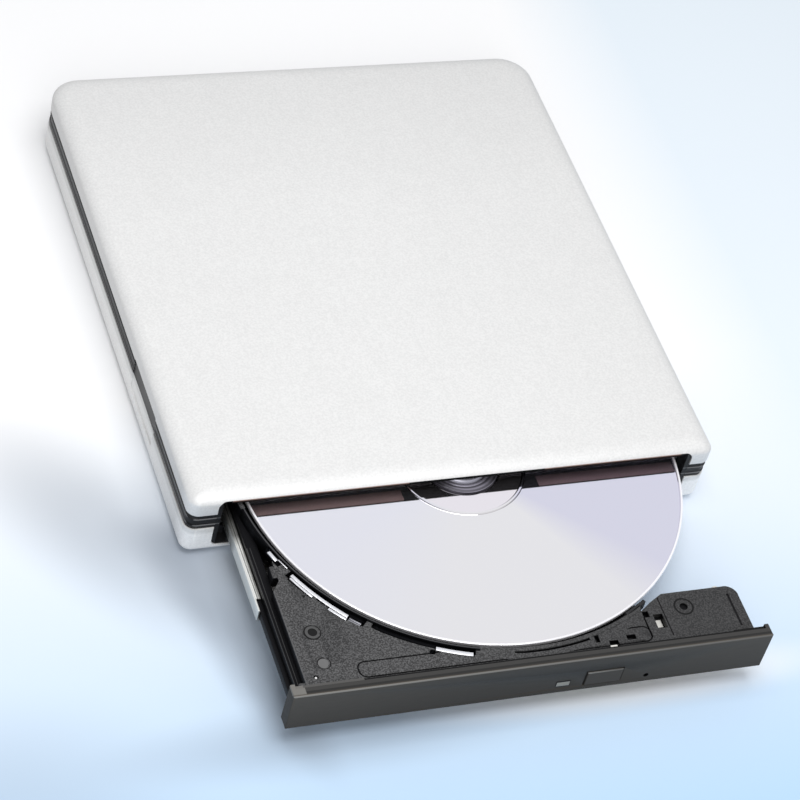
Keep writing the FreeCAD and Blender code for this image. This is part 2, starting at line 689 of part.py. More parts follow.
def drive_lid():
    """Flat sheet lid with a pressed ring, a rear flange and a notched front edge."""
    half = HALF_DRIVE
    sheet = box(-half, half, HOUSING_FRONT, HOUSING_BACK, LID_UNDER, DRIVE_HEIGHT)
    flange = box(-half + 4, half - 4, HOUSING_BACK, HOUSING_BACK + SHEET, DRIVE_HEIGHT - 3, DRIVE_HEIGHT)
    flange = flange.cut(box(STEP_X, half, HOUSING_BACK - 1, HOUSING_BACK + 2, 0, DRIVE_HEIGHT - 1.2))
    press = ring(DISC_X, HOUSING_FRONT + HOUSING_DEPTH / 2, DRIVE_HEIGHT - 0.2, DRIVE_HEIGHT,
                 DISC_RADIUS - 8, DISC_RADIUS - 14)
    beads = [rounded_block(x - 1.5, x + 1.5, HOUSING_FRONT + 20, HOUSING_BACK - 20, 1.4,
                           DRIVE_HEIGHT - 0.2, DRIVE_HEIGHT) for x in (10 - half, half - 10)]
    holes = [disc(x, y, LID_UNDER - 1, DRIVE_HEIGHT + 1, 0.85) for x, y in lid_screw_places()]
    return cut(join(sheet, flange), press, *beads, *holes)


def lid_screw_places():
    """Four lid screws over the pan's corner tabs."""
    return [(s * (HALF_DRIVE - 2.6), y) for s in (-1, 1) for y in (HOUSING_FRONT + 8, HOUSING_BACK - 8)]


def lid_screws():
    """Flat-headed screws that hold the lid."""
    profile = [(0, LID_UNDER - 0.8), (0.75, LID_UNDER - 0.8), (0.75, DRIVE_HEIGHT), (1.7, DRIVE_HEIGHT),
               (1.5, DRIVE_HEIGHT + 0.35), (0, DRIVE_HEIGHT + 0.35)]
    return group([lathe(profile, x, y) for x, y in lid_screw_places()])


def main_board_under():
    """Underside of the main board over the raised bay's floor."""
    return RAISED_FLOOR + 0.5


def main_board_top():
    """Upper face of the main board."""
    return main_board_under() + BOARD_THICK


def main_board():
    """Control board in the raised bay, on four short standoffs."""
    board = box(BAY_RIGHT + 2.5, HALF_DRIVE - SHEET - 0.6, HOUSING_FRONT + 24, HOUSING_BACK - 1.5,
                main_board_under(), main_board_top())
    feet = [disc(x, y, RAISED_FLOOR, main_board_under(), 1.4)
            for x in (BAY_RIGHT + 5, HALF_DRIVE - 4) for y in (HOUSING_FRONT + 28, HOUSING_BACK - 16)]
    return join(board, *feet)


def main_chips():
    """Large controller, memory, motor driver and small parts on the main board."""
    top = main_board_top()
    x = BAY_RIGHT + 4
    y = HOUSING_FRONT + 40
    return group([box(x + 1, x + 15, y + 18, y + 32, top, top + 1.0),
                  box(x + 3, x + 9, y + 40, y + 48, top, top + 0.9),
                  box(x + 2, x + 10, y, y + 9, top, top + 1.0),
                  box(x + 12, x + 17, y + 2, y + 6, top, top + 0.8),
                  box(x + 11, x + 15, y + 52, y + 55, top, top + 0.9)])


def ribbon_cable():
    """Flat cable lying on the pan and folded back under the tray."""
    fold = HOUSING_FRONT + RIBBON_FOLD
    top = SHIELD_UNDER - 0.3
    low = SHEET
    radius = (top - low) / 2
    lower = box(-RIBBON_HALF, RIBBON_HALF, fold, HOUSING_BACK - 12, low, low + RIBBON_THICK)
    upper = box(-RIBBON_HALF, RIBBON_HALF, fold, TRAY_BACK - 8, top - RIBBON_THICK, top)
    outer = rod_x(-RIBBON_HALF, RIBBON_HALF, fold, low + radius, radius)
    inner = rod_x(-RIBBON_HALF, RIBBON_HALF, fold, low + radius, radius - RIBBON_THICK)
    front = box(-RIBBON_HALF - 1, RIBBON_HALF + 1, fold - 3, fold, 0, DRIVE_HEIGHT)
    return join(lower, upper, outer.cut(inner).common(front))


# Rails

def channel(face, tip, half, sheet, z):
    """C section open towards the tray, given by offsets from the bay's left wall."""
    x0 = BAY_LEFT + face
    x1 = BAY_LEFT + tip
    return [(x0, z - half), (x1, z - half), (x1, z - half + sheet[1]), (x0 + sheet[0], z - half + sheet[1]),
            (x0 + sheet[0], z + half - sheet[1]), (x1, z + half - sheet[1]), (x1, z + half), (x0, z + half)]


def rail_guide():
    """Plastic channel on the left wall of the bay, in which the rail slides."""
    half = RAIL_HALF + RAIL_GAP + GUIDE_ARM
    section = channel(0, RAIL_TIP - 0.1, half, (GUIDE_WEB, GUIDE_ARM), RAIL_Z)
    start = HOUSING_FRONT + GUIDE_INSET
    return strip_y(section, start, start + GUIDE_LENGTH)


def rail():
    """Folded steel rail whose flanges stop short of its front end."""
    section = channel(RAIL_FACE, RAIL_TIP, RAIL_HALF, (RAIL_SHEET, RAIL_SHEET), RAIL_Z)
    bar = strip_y(section, RAIL_FRONT, RAIL_FRONT + RAIL_LENGTH)
    inside = BAY_LEFT + RAIL_FACE + RAIL_SHEET
    tip = box(inside, inside + RAIL_FLANGE, RAIL_FRONT - 1, RAIL_FRONT + RAIL_NOSE, RAIL_Z,
              RAIL_Z + RAIL_HALF + 1)
    slot = box(BAY_LEFT + RAIL_FACE - 1, inside + 0.2, RAIL_FRONT + 60, RAIL_FRONT + 66, RAIL_Z - 0.5,
               RAIL_Z + 0.5)
    return cut(bar, tip, slot)


# Tray

def bay_box(y0, y1, z0, z1):
    """Block across the tray body between both skirts."""
    return box(SKIRT_LEFT, SKIRT_RIGHT, y0, y1, z0, z1)


def tray_floor():
    """Round well floor with a ledge along both sides."""
    floor = disc(DISC_X, DISC_Y, FLOOR_UNDER, FLOOR_TOP, LIP_RADIUS)
    floor = floor.common(bay_box(TRAY_FRONT, TRAY_BACK, FLOOR_UNDER, FLOOR_TOP))
    ledge = box(SKIRT_LEFT, DECK_LEFT + TRAY_WALL, TRAY_FRONT, TRAY_BACK, FLOOR_UNDER, FLOOR_TOP)
    return join(floor, *both_sides(ledge))


def tray_deck():
    """Upper deck outside the well, with its edges drawn in beside the disc."""
    step = DECK_BREAK_STEP
    near = DISC_Y - DECK_BREAK
    far = DISC_Y + DECK_BREAK
    outline = [(DECK_LEFT, TRAY_FRONT), (DECK_RIGHT, TRAY_FRONT), (DECK_RIGHT, TRAY_BACK),
               (DECK_LEFT, TRAY_BACK), (DECK_LEFT, far), (DECK_LEFT + step, far - step - 0.7),
               (DECK_LEFT + step, DISC_Y + 22), (DISC_X - 40, DISC_Y), (DECK_LEFT + step, DISC_Y - 22),
               (DECK_LEFT + step, near + step + 0.7), (DECK_LEFT, near)]
    return plate(outline, DECK_UNDER, DECK_TOP)


def deck_walls():
    """Upright walls from the side ledges to the deck."""
    walls = []
    for x in (DECK_LEFT, DECK_RIGHT - TRAY_WALL):
        for y0, y1 in ((TRAY_FRONT, DISC_Y - DECK_BREAK), (DISC_Y + DECK_BREAK, TRAY_BACK)):
            if x == DECK_LEFT or y0 > DISC_Y:
                walls.append(box(x, x + TRAY_WALL, y0, y1, FLOOR_UNDER, DECK_TOP))
    return walls


def tray_lip():
    """Raised arc round the disc."""
    lip = ring(DISC_X, DISC_Y, FLOOR_UNDER, DECK_TOP + LIP_RISE, LIP_RADIUS, WELL_RADIUS)
    return lip.common(bay_box(TRAY_FRONT, TRAY_BACK, FLOOR_UNDER, DECK_TOP + LIP_RISE))


def tray_sides():
    """Skirts, running tongues and the front and rear walls."""
    skirt = box(SKIRT_LEFT, SKIRT_LEFT + TRAY_WALL, TRAY_FRONT, TRAY_BACK, SHIELD_TOP, FLOOR_TOP)
    tongue = box(BAY_LEFT + RAIL_FACE + RAIL_SHEET + TONGUE_GAP, SKIRT_LEFT + 0.3, TRAY_FRONT + 2, TRAY_BACK,
                 RAIL_Z - TONGUE_HEIGHT / 2, RAIL_Z + TONGUE_HEIGHT / 2)
    front = bay_box(TRAY_FRONT, TRAY_FRONT + TRAY_WALL, SHIELD_TOP, DECK_TOP)
    rear = bay_box(TRAY_BACK - TRAY_WALL, TRAY_BACK, SHIELD_TOP, FLOOR_TOP)
    ribs = [bay_box(y, y + 1, FLOOR_UNDER - 2.2, FLOOR_UNDER) for y in (TRAY_BACK - 17, TRAY_BACK - 8)]
    return both_sides(skirt) + both_sides(tongue) + [front, rear] + ribs


def ear_outline():
    """Corners of the ear plate beside the tray's front."""
    return [(DECK_RIGHT - 2, TRAY_FRONT), (EAR_RIGHT, TRAY_FRONT), (EAR_RIGHT, EAR_BACK),
            (EAR_SLANT_X, EAR_BACK), (DECK_RIGHT, EAR_SLANT_Y), (DECK_RIGHT - 2, EAR_SLANT_Y)]


def tray_ear():
    """Ear plate with a skirt on its free edges."""
    solid = plate(ear_outline(), DECK_TOP - EAR_SKIRT, DECK_TOP)
    solid = soften(solid, EAR_CORNER, lambda p: abs(p.x - EAR_RIGHT) < 0.01 and abs(p.y - EAR_BACK) < 0.01)
    hollow = box(DECK_RIGHT - 3, EAR_RIGHT - TRAY_WALL, TRAY_FRONT + TRAY_WALL, EAR_BACK - TRAY_WALL,
                 DECK_TOP - EAR_SKIRT - 1, DECK_UNDER)
    beside_guide = box(DECK_RIGHT - 3, EAR_SLANT_X + 0.5, TRAY_FRONT + TRAY_WALL, EAR_BACK + 1,
                       DECK_TOP - EAR_SKIRT - 1, DECK_UNDER)
    return cut(solid, hollow, beside_guide)


def tray_bosses():
    """Screw bosses, board posts, damper posts, latch pivot, ejector guide and deck marks."""
    bosses = [disc(x, y, SHIELD_TOP, top, 2.0) for x, y, top in shield_screw_places()]
    bosses += [disc(x, y, button_board_top(), top, 1.5) for x, y, top in board_post_places()]
    bosses += [on_traverse(disc(x, y, CHASSIS_UNDER - 0.1, FLOOR_UNDER + 0.5, DAMPER_BORE - RUN_GAP))
               for x, y in damper_places()[:2]]
    bosses += [on_traverse(disc(x, y, CHASSIS_UNDER - 0.1, DECK_UNDER + 0.5, DAMPER_BORE - RUN_GAP))
               for x, y in damper_places()[2:]]
    bosses.append(disc(LATCH_X, LATCH_Y, latch_under() - 0.3, DECK_UNDER + 0.5, LATCH_PIN_RADIUS))
    bosses.append(ring(LATCH_X, LATCH_Y, latch_under() + LATCH_THICK, DECK_UNDER + 0.5, LATCH_EYE,
                       LATCH_PIN_RADIUS))
    bosses.append(box(EJECTOR_X - 2, EJECTOR_X + 2, EAR_BACK - 4, EAR_BACK - 0.5, ejector_level() - 1.5,
                      DECK_UNDER + 0.5))
    bosses.append(box(EJECTOR_X - 2, EJECTOR_X + 2, TRAY_FRONT, TRAY_FRONT + TRAY_WALL, ejector_level() - 1.5,
                      DECK_TOP))
    x = DECK_LEFT + DECK_MARK_X
    bosses.append(disc(x, TRAY_FRONT + 6.3, DECK_UNDER, DECK_TOP + 0.12, 1.7))
    bosses.append(ring(x, TRAY_FRONT + 15.7, DECK_UNDER, DECK_TOP + 0.15, 2.0, 1.3))
    bosses.append(box(DECK_LEFT + 1.1, DECK_LEFT + 4.7, DISC_Y - 31.3, DISC_Y - 27.7, FLOOR_TOP - 0.5,
                      DECK_TOP - 0.1))
    return bosses


def deck_cuts():
    """Arc slots beside the lip, engraved frame, small holes and the marks on the ear."""
    slots = [arc_band(LIP_RADIUS, LIP_RADIUS + width, start, end, DECK_UNDER - 1, DECK_TOP + 1)
             for start, end, width in ((200.2, 205.8, 1.8), (208.4, 216.5, 2.2), (217.3, 229.5, 2.2),
                                       (231.0, 255.0, 1.5), (264.0, 283.0, 0.6))]
    engraved = rounded_frame(DECK_LEFT + 13.8, DECK_RIGHT - 1.3, TRAY_FRONT + 0.35, TRAY_FRONT + 5.4,
                             2.2, 0.4, DECK_TOP - 0.35, DECK_TOP + 1)
    engraved = engraved.cut(disc(DISC_X, DISC_Y, 0, 20, LIP_RADIUS + 2.2))
    through = DECK_THICK + 1
    ear_middle = EAR_RIGHT - DECK_RIGHT
    holes = [disc(DECK_LEFT + 3.0, TRAY_FRONT + 2.4, DECK_UNDER - 1, DECK_TOP + 1, 0.65),
             disc(DECK_LEFT + 34.1, TRAY_FRONT + 5.5, DECK_UNDER - 1, DECK_TOP + 1, 0.8),
             disc(LATCH_X, LATCH_Y, DECK_TOP - 0.5, DECK_TOP + 1, 1.1),
             ring(LATCH_X, LATCH_Y, DECK_TOP - 0.3, DECK_TOP + 1, 2.6, 2.2),
             deck_slot(-16.9, -15.7, 2.0, 4.3, through), deck_slot(-8.4, -5.9, 1.7, 3.2, through),
             deck_slot(-13.5, -11.0, 1.2, 2.1, through), deck_slot(1.0, 3.6, 4.0, 8.4, through),
             deck_slot(-1.8, -1.4, 1.7, 8.0, 0.6), deck_slot(4.0, 4.3, TRAY_WALL, EAR_LENGTH - 1, 0.3),
             deck_slot(ear_middle - 3.2, ear_middle - 2.6, 1.6, 12.0, 0.3)]
    return slots + [engraved] + holes


def deck_slot(x0, x1, y0, y1, depth):
    """Cutter in the deck, placed from its right edge and the tray's front."""
    return box(DECK_RIGHT + x0, DECK_RIGHT + x1, TRAY_FRONT + y0, TRAY_FRONT + y1, DECK_TOP - depth,
               DECK_TOP + 1)


def rounded_frame(x0, x1, y0, y1, radius, width, z0, z1):
    """Thin closed frame on a rounded rectangle."""
    return rounded_block(x0, x1, y0, y1, radius, z0, z1).cut(
        rounded_block(x0 + width, x1 - width, y0 + width, y1 - width, radius - width, z0, z1))


def tray_openings():
    """Well, traverse window, board window and the bores of the tray."""
    well = disc(DISC_X, DISC_Y, FLOOR_TOP, DECK_TOP + 2, WELL_RADIUS)
    window = on_traverse(rounded_block(-WINDOW_HALF_WIDTH, WINDOW_HALF_WIDTH, 0, WINDOW_END, 4,
                                       FLOOR_UNDER - 1, FLOOR_TOP + 1))
    spindle = disc(DISC_X, DISC_Y, FLOOR_UNDER - 3, FLOOR_TOP + 1, SPINDLE_WINDOW)
    board = box(LED_X - 2.1, PINHOLE_X + 3, TRAY_FRONT - 1, TRAY_FRONT + TRAY_WALL + 0.1, 0, FLOOR_TOP)
    bores = [disc(x, y, SHIELD_TOP - 1, SHIELD_TOP + 3.4, 0.75) for x, y, top in shield_screw_places()]
    bores.append(rod_y(EJECTOR_X, EAR_BACK - 8, EAR_BACK + 2, ejector_level(), EJECTOR_RADIUS + RUN_GAP))
    return [well, window, spindle, board] + bores


def shield_screw_places():
    """Places of the four screws that hold the shield, with the height of each boss."""
    left = SKIRT_LEFT + SHIELD_SCREW_SIDE
    right = SKIRT_RIGHT - SHIELD_SCREW_SIDE
    return [(left, TRAY_BACK - 8, FLOOR_UNDER + 0.5), (left, TRAY_FRONT + 15, DECK_UNDER + 0.5),
            (right, TRAY_BACK - 8, FLOOR_UNDER + 0.5), (right, TRAY_FRONT + 17, FLOOR_UNDER + 0.5)]


def tray():
    """Moulded tray with its well, deck, lip, side tongues and ear."""
    body = join(tray_floor(), tray_deck(), tray_lip(), *deck_walls(), *tray_sides(), tray_ear())
    body = cut(body, *tray_openings()[:1])
    body = join(body, *tray_bosses())
    return cut(body, *tray_openings()[1:], *deck_cuts())


def steel_clips():
    """Bright strips of spring steel seated in the arc slots."""
    low = DECK_UNDER + 0.4
    high = DECK_TOP - 0.35
    bands = ((200.8, 205.2, 1.2), (209.0, 216.1, 1.5), (217.7, 225.4, 1.0), (246.0, 254.4, 1.0))
    strips = [arc_band(LIP_RADIUS, LIP_RADIUS + width, start, end, low, high) for start, end, width in bands]
    strips[2] = join(strips[2], arc_band(LIP_RADIUS + 0.5, LIP_RADIUS + 2.0, 221.8, 225.4, low, high))
    return group(strips)


def tray_shield():
    """Thin sheet below the tray with a window under the pickup's path."""
    sheet = bay_box(TRAY_FRONT + 11, TRAY_BACK - 0.3, SHIELD_UNDER, SHIELD_TOP)
    window = on_traverse(rounded_block(-9, 9, 20, CHASSIS_END - 9, 3, SHIELD_UNDER - 1, SHIELD_TOP + 1))
    vents = [rounded_block(x, x + 3, TRAY_BACK - 24, TRAY_BACK - 9, 1.4, SHIELD_UNDER - 1, SHIELD_TOP + 1)
             for x in (SKIRT_LEFT + 21, SKIRT_LEFT + 28, SKIRT_RIGHT - 18, SKIRT_RIGHT - 11)]
    holes = [disc(x, y, SHIELD_UNDER - 1, SHIELD_TOP + 1, 0.75) for x, y, top in shield_screw_places()]
    return cut(sheet, window, *vents, *holes)


def shield_screws():
    """Four low-headed screws that hold the shield."""
    profile = [(0, SHIELD_UNDER - 0.4), (1.4, SHIELD_UNDER - 0.4), (1.5, SHIELD_UNDER), (0.7, SHIELD_UNDER),
               (0.7, SHIELD_TOP + 3), (0, SHIELD_TOP + 3)]
    return group([lathe(profile, x, y) for x, y, top in shield_screw_places()])


# Bezel and button

def bezel():
    """Hollow front bezel with a lower ledge behind its top wall."""
    half = HALF_DRIVE
    body = box(-half, half, BEZEL_FRONT, TRAY_FRONT, 0, DRIVE_HEIGHT)
    body = soften(body, 0.5, lambda p: abs(p.y - BEZEL_FRONT) < 0.01)
    pocket = box(-half + BEZEL_RIM, half - BEZEL_RIM, BEZEL_FRONT + BEZEL_PLATE, TRAY_FRONT + 1,
                 BEZEL_RIM, DECK_TOP - 0.4)
    ledge = box(-half + BEZEL_RIM, half - BEZEL_RIM, BEZEL_FRONT + BEZEL_TOP_DEPTH, TRAY_FRONT + 1,
                DRIVE_HEIGHT - BEZEL_STEP, DRIVE_HEIGHT + 1)
    button = box(BUTTON_X, BUTTON_X + BUTTON_WIDTH, BEZEL_FRONT - 1, TRAY_FRONT, BUTTON_Z,
                 BUTTON_Z + BUTTON_HEIGHT)
    lamp = box(LED_X, LED_X + LED_WIDTH, BEZEL_FRONT - 1, TRAY_FRONT, LED_Z, LED_Z + LED_HEIGHT)
    pinhole = rod_y(PINHOLE_X, BEZEL_FRONT - 1, TRAY_FRONT, PINHOLE_Z, PINHOLE_RADIUS)
    return cut(body, pocket, ledge, button, lamp, pinhole)


def button_middle():
    """Middle of the eject button, in X and Z."""
    return BUTTON_X + BUTTON_WIDTH / 2, BUTTON_Z + BUTTON_HEIGHT / 2


def eject_button():
    """Button cap with a retaining flange and a pusher."""
    x, z = button_middle()
    half_width = BUTTON_WIDTH / 2 - BUTTON_GAP
    half_height = BUTTON_HEIGHT / 2 - BUTTON_GAP
    behind = BEZEL_FRONT + BEZEL_PLATE
    low = z - half_height
    high = z + half_height
    cap = box(x - half_width, x + half_width, BEZEL_FRONT - BUTTON_PROUD, behind + 0.4, low, high)
    cap = soften(cap, 0.25, lambda p: abs(p.y - BEZEL_FRONT + BUTTON_PROUD) < 0.01)
    flange = box(x - half_width - 0.6, x + half_width + 0.6, behind + 0.15, behind + 0.75, low, high)
    pusher = rod_y(x, behind + 0.5, TRAY_FRONT - 0.15, z, 1.0)
    return join(cap, flange, pusher)


def led_lens():
    """Clear window in front of the lamp."""
    return box(LED_X, LED_X + LED_WIDTH, BEZEL_FRONT - 0.05, BEZEL_FRONT + BEZEL_PLATE + 0.5, LED_Z,
               LED_Z + LED_HEIGHT)


def button_board_top():
    """Upper face of the button board, just above the bezel's lower wall."""
    return BEZEL_RIM + 0.3 + BOARD_THICK


def board_post_places():
    """Places of the two posts that hold the button board, with the height of each."""
    y = TRAY_FRONT + 5
    return [(LED_X + 0.9, y, FLOOR_UNDER + 0.5), (PINHOLE_X - 4, y, DECK_UNDER + 0.5)]


def board_front():
    """Front edge of the button board, behind the pressed button."""
    return TRAY_FRONT - BEZEL_DEPTH + BEZEL_PLATE + 0.75 + BUTTON_STROKE + 0.2


def button_board():
    """Small board behind the bezel that carries the lamp and the switch."""
    top = button_board_top()
    return box(LED_X - 1.7, PINHOLE_X - 1.5, board_front(), TRAY_FRONT + 9, top - BOARD_THICK, top)


def status_lamp():
    """Lamp behind its window."""
    x = LED_X + LED_WIDTH / 2
    return box(x - 1.1, x + 1.1, board_front(), TRAY_FRONT + 0.6, button_board_top(), LED_Z + LED_HEIGHT)


def switch_body():
    """Tact switch with a bore for its plunger."""
    x, z = button_middle()
    body = box(x - 2.4, x + 2.4, TRAY_FRONT + 1.1, TRAY_FRONT + 5, button_board_top(), z + 1.9)
    return cut(body, rod_y(x, TRAY_FRONT, TRAY_FRONT + 3, z, 0.9 + RUN_GAP))


def switch_plunger():
    """Plunger of the tact switch."""
    x, z = button_middle()
    return rod_y(x, TRAY_FRONT, TRAY_FRONT + 2.5, z, 0.9)


# Spindle

def spindle_motor():
    """Motor base with a raised bearing and stator."""
    base = disc(DISC_X, DISC_Y, CHASSIS_TOP, CHASSIS_TOP + 0.6, BELL_RADIUS)
    stator = disc(DISC_X, DISC_Y, CHASSIS_TOP + 0.5, FLOOR_UNDER - 0.4, STATOR_RADIUS)
    poles = [box(DISC_X - 0.5, DISC_X + 0.5, DISC_Y + 4.2, DISC_Y + STATOR_RADIUS + 1, CHASSIS_TOP + 1.2,
                 FLOOR_UNDER) for _ in range(9)]
    for index, pole in enumerate(poles):
        pole.rotate(point(DISC_X, DISC_Y), UP, 40.0 * index)
    bore = disc(DISC_X, DISC_Y, CHASSIS_TOP + 0.2, FLOOR_UNDER, SHAFT_RADIUS + RUN_GAP)
    return cut(join(base, stator), bore, *poles)


def turntable():
    """Rotor bell, disc table, shaft and domed hub in one turned piece."""
    under = FLOOR_UNDER - 0.1
    profile = [(0, CHASSIS_TOP + 0.3), (SHAFT_RADIUS, CHASSIS_TOP + 0.3), (SHAFT_RADIUS, under),
               (BELL_RADIUS - BELL_WALL, under), (BELL_RADIUS - BELL_WALL, CHASSIS_TOP + 1.0),
               (BELL_RADIUS, CHASSIS_TOP + 1.0), (BELL_RADIUS, TABLE_TOP - TABLE_THICK),
               (TABLE_RADIUS, TABLE_TOP - TABLE_THICK), (TABLE_RADIUS, TABLE_TOP), (HUB_RADIUS, TABLE_TOP),
               (HUB_RADIUS, DISC_TOP + 0.3), (HUB_RADIUS - 0.6, DISC_TOP + 0.9), (4.2, DISC_TOP + HUB_RISE),
               (2.6, DISC_TOP + HUB_RISE), (2.2, DISC_TOP + 1.0), (0, DISC_TOP + 1.0)]
    body = lathe(profile, DISC_X, DISC_Y)
    slots = [claw_block(CLAW_ROOT - CLAW_STROKE - 0.2, HUB_RADIUS + 1, CLAW_WIDTH + 0.4, DISC_TOP + 0.05,
                        DISC_TOP + 2, index) for index in range(CLAW_COUNT)]
    return cut(body, *slots)


def claw_block(r0, r1, width, z0, z1, index):
    """Radial block at one of the claw places."""
    block = box(r0, r1, -width / 2, width / 2, z0, z1)
    block.rotate(ORIGIN, UP, 90.0 + 360.0 * index / CLAW_COUNT)
    block.translate(point(DISC_X, DISC_Y))
    return block


def hub_claw(index):
    """Spring claw that clips over the disc's inner edge."""
    z = DISC_TOP + SEAT_GAP
    reach = DISC_HOLE + CLAW_REACH
    points = [(CLAW_ROOT, z), (reach - 0.2, z), (reach, z + 0.25), (reach - 0.5, z + CLAW_HEIGHT),
              (CLAW_ROOT, z + CLAW_HEIGHT)]
    claw = strip_y(points, -CLAW_WIDTH / 2, CLAW_WIDTH / 2)
    claw.rotate(ORIGIN, UP, 90.0 + 360.0 * index / CLAW_COUNT)
    claw.translate(point(DISC_X, DISC_Y))
    return claw


def turntable_pad():
    """Rubber ring on the disc table."""
    return ring(DISC_X, DISC_Y, TABLE_TOP, DISC_BOTTOM, TABLE_RADIUS - 0.3, PAD_INNER)


def dvd_disc():
    """Disc with its centre hole, stacking ring and the groove round its clear zone."""
    edge = 0.15
    profile = [(DISC_HOLE, DISC_BOTTOM), (DISC_RADIUS - edge, DISC_BOTTOM), (DISC_RADIUS, DISC_BOTTOM + edge),
               (DISC_RADIUS, DISC_TOP - edge), (DISC_RADIUS - edge, DISC_TOP), (17.7, DISC_TOP),
               (17.5, DISC_TOP - 0.15), (16.9, DISC_TOP - 0.15), (16.7, DISC_TOP), (DISC_HOLE, DISC_TOP)]
    return lathe(profile, DISC_X, DISC_Y)


# Traverse unit

def damper_places():
    """Rubber dampers: two beside the spindle motor, one beyond the rods."""
    return [(-14.0, -14.5), (14.0, -14.5), (0.0, CHASSIS_END + 2.0)]


def rod_post_top():
    """Height of the posts that hold the rods."""
    return ROD_Z + MAIN_ROD_RADIUS + 0.3


def rod_posts():
    """Posts at both ends of each rod and of the lead screw."""
    posts = []
    for x, half in ((MAIN_ROD_X, 2.2), (SIDE_ROD_X, 1.9)):
        for y in (ROD_START, ROD_END - ROD_POST):
            posts.append(box(x - half, x + half, y, y + ROD_POST, CHASSIS_TOP - 0.2, rod_post_top()))
    posts.append(box(SCREW_X - 1.9, SCREW_X + 1.9, ROD_END - ROD_POST, ROD_END, CHASSIS_TOP - 0.2,
                     rod_post_top()))
    return posts


def traverse_chassis():
    """Sheet chassis with a window for the sled and posts for the rods."""
    sheet = rounded_block(CHASSIS_LEFT, CHASSIS_RIGHT, CHASSIS_BACK, CHASSIS_END, 2, CHASSIS_UNDER,
                          CHASSIS_TOP)
    ear = rounded_block(-4, 4, CHASSIS_END - 6, CHASSIS_END + 5, 3, CHASSIS_UNDER, CHASSIS_TOP)
    window = rounded_block(-11, 11, 16, CHASSIS_END - 5, 2, CHASSIS_UNDER - 1, CHASSIS_TOP + 1)
    holes = [disc(x, y, CHASSIS_UNDER - 1, CHASSIS_TOP + 1, DAMPER_BORE + RUN_GAP)
             for x, y in damper_places()]
    bores = [rod_y(MAIN_ROD_X, ROD_START - 1, ROD_END + 1, ROD_Z, MAIN_ROD_RADIUS),
             rod_y(SIDE_ROD_X, ROD_START - 1, ROD_END + 1, ROD_Z, SIDE_ROD_RADIUS),
             rod_y(SCREW_X, ROD_END - ROD_POST - 1, ROD_END + 1, ROD_Z, SCREW_RADIUS + RUN_GAP)]
    return on_traverse(cut(join(sheet, ear, *rod_posts()), window, *holes, *bores))


def rubber_dampers():
    """Three bushes between the chassis and the tray."""
    tops = (FLOOR_UNDER, FLOOR_UNDER, DECK_UNDER)
    return group([on_traverse(ring(x, y, CHASSIS_TOP, top, DAMPER_RADIUS, DAMPER_BORE))
                  for (x, y), top in zip(damper_places(), tops)])


def guide_rods():
    """Two polished rods that carry the sled."""
    return group([on_traverse(rod_y(MAIN_ROD_X, ROD_START, ROD_END, ROD_Z, MAIN_ROD_RADIUS)),
                  on_traverse(rod_y(SIDE_ROD_X, ROD_START, ROD_END, ROD_Z, SIDE_ROD_RADIUS))])


def lead_screw():
    """Screw from the feed motor to its end post, without its thread."""
    return on_traverse(rod_y(SCREW_X, SCREW_START, ROD_END, ROD_Z, SCREW_RADIUS))


def feed_motor():
    """Flat-sided stepper motor."""
    half = FEED_MOTOR_WIDTH / 2
    end = SCREW_START + 1.2
    body = box(SCREW_X - half, SCREW_X + half, end - FEED_MOTOR_LENGTH, end, CHASSIS_TOP, FLOOR_UNDER - 0.2)
    body = soften(body, 0.6, lambda p: abs(abs(p.x - SCREW_X) - half) < 0.01 and p.z > FLOOR_UNDER - 0.3)
    return on_traverse(cut(body, rod_y(SCREW_X, SCREW_START - 0.3, end + 1, ROD_Z, SCREW_RADIUS + RUN_GAP)))


def pickup_sled():
    """Sled with a long bush, a short bush, a lens well and a follower for the screw."""
    y = LENS_REST
    low = SLED_UNDER
    top = SLED_TOP
    body = box(-SLED_HALF_WIDTH, SLED_HALF_WIDTH, y - SLED_HALF_LENGTH, y + SLED_HALF_LENGTH, low, top)
    middle = (low + top) / 2
    body = soften(body, 1.0, lambda p: abs(abs(p.x) - SLED_HALF_WIDTH) < 0.01 and abs(p.z - middle) < 0.01)
    main = box(SLED_HALF_WIDTH - 1, MAIN_ROD_X + 2.1, y - SLED_HALF_LENGTH, y + SLED_HALF_LENGTH, low, top)
    side = box(SIDE_ROD_X - 1.7, -SLED_HALF_WIDTH + 1, y - 3, y + 3, low, top)
    follower = box(SCREW_X + SCREW_RADIUS + 0.25, SIDE_ROD_X - 1.5, y - 1.5, y + 1.5, ROD_Z - 0.8,
                   ROD_Z + 0.8)
    well = box(-7, 7, y - LENS_WELL, y + LENS_WELL, low + 0.8, top + 1)
    bores = [rod_y(MAIN_ROD_X, y - 9, y + 9, ROD_Z, MAIN_ROD_RADIUS + RUN_GAP),
             rod_y(SIDE_ROD_X, y - 9, y + 9, ROD_Z, SIDE_ROD_RADIUS + RUN_GAP)]
    return on_traverse(cut(join(body, main, side, follower), well, *bores))


def actuator_magnets():
    """Two magnets at the ends of the lens well."""
    y = LENS_REST
    low = SLED_UNDER + 0.8
    starts = (y - LENS_WELL, y + LENS_WELL - MAGNET_THICK)
    return group([on_traverse(box(-MAGNET_HALF, MAGNET_HALF, start, start + MAGNET_THICK, low, SLED_TOP))
                  for start in starts])


def lens_holder():
    """Coil carrier of the lens, with a raised collar."""
    y = LENS_REST
    base = box(-4.6, 4.6, y - 3.8, y + 3.8, SLED_UNDER + 1.3, SLED_TOP + 0.2)
    collar = disc(0, y, SLED_TOP, SLED_TOP + 0.7, LENS_RADIUS + 0.6)
    return on_traverse(cut(join(base, collar), disc(0, y, SLED_TOP - 0.6, SLED_TOP + 1, LENS_RADIUS)))


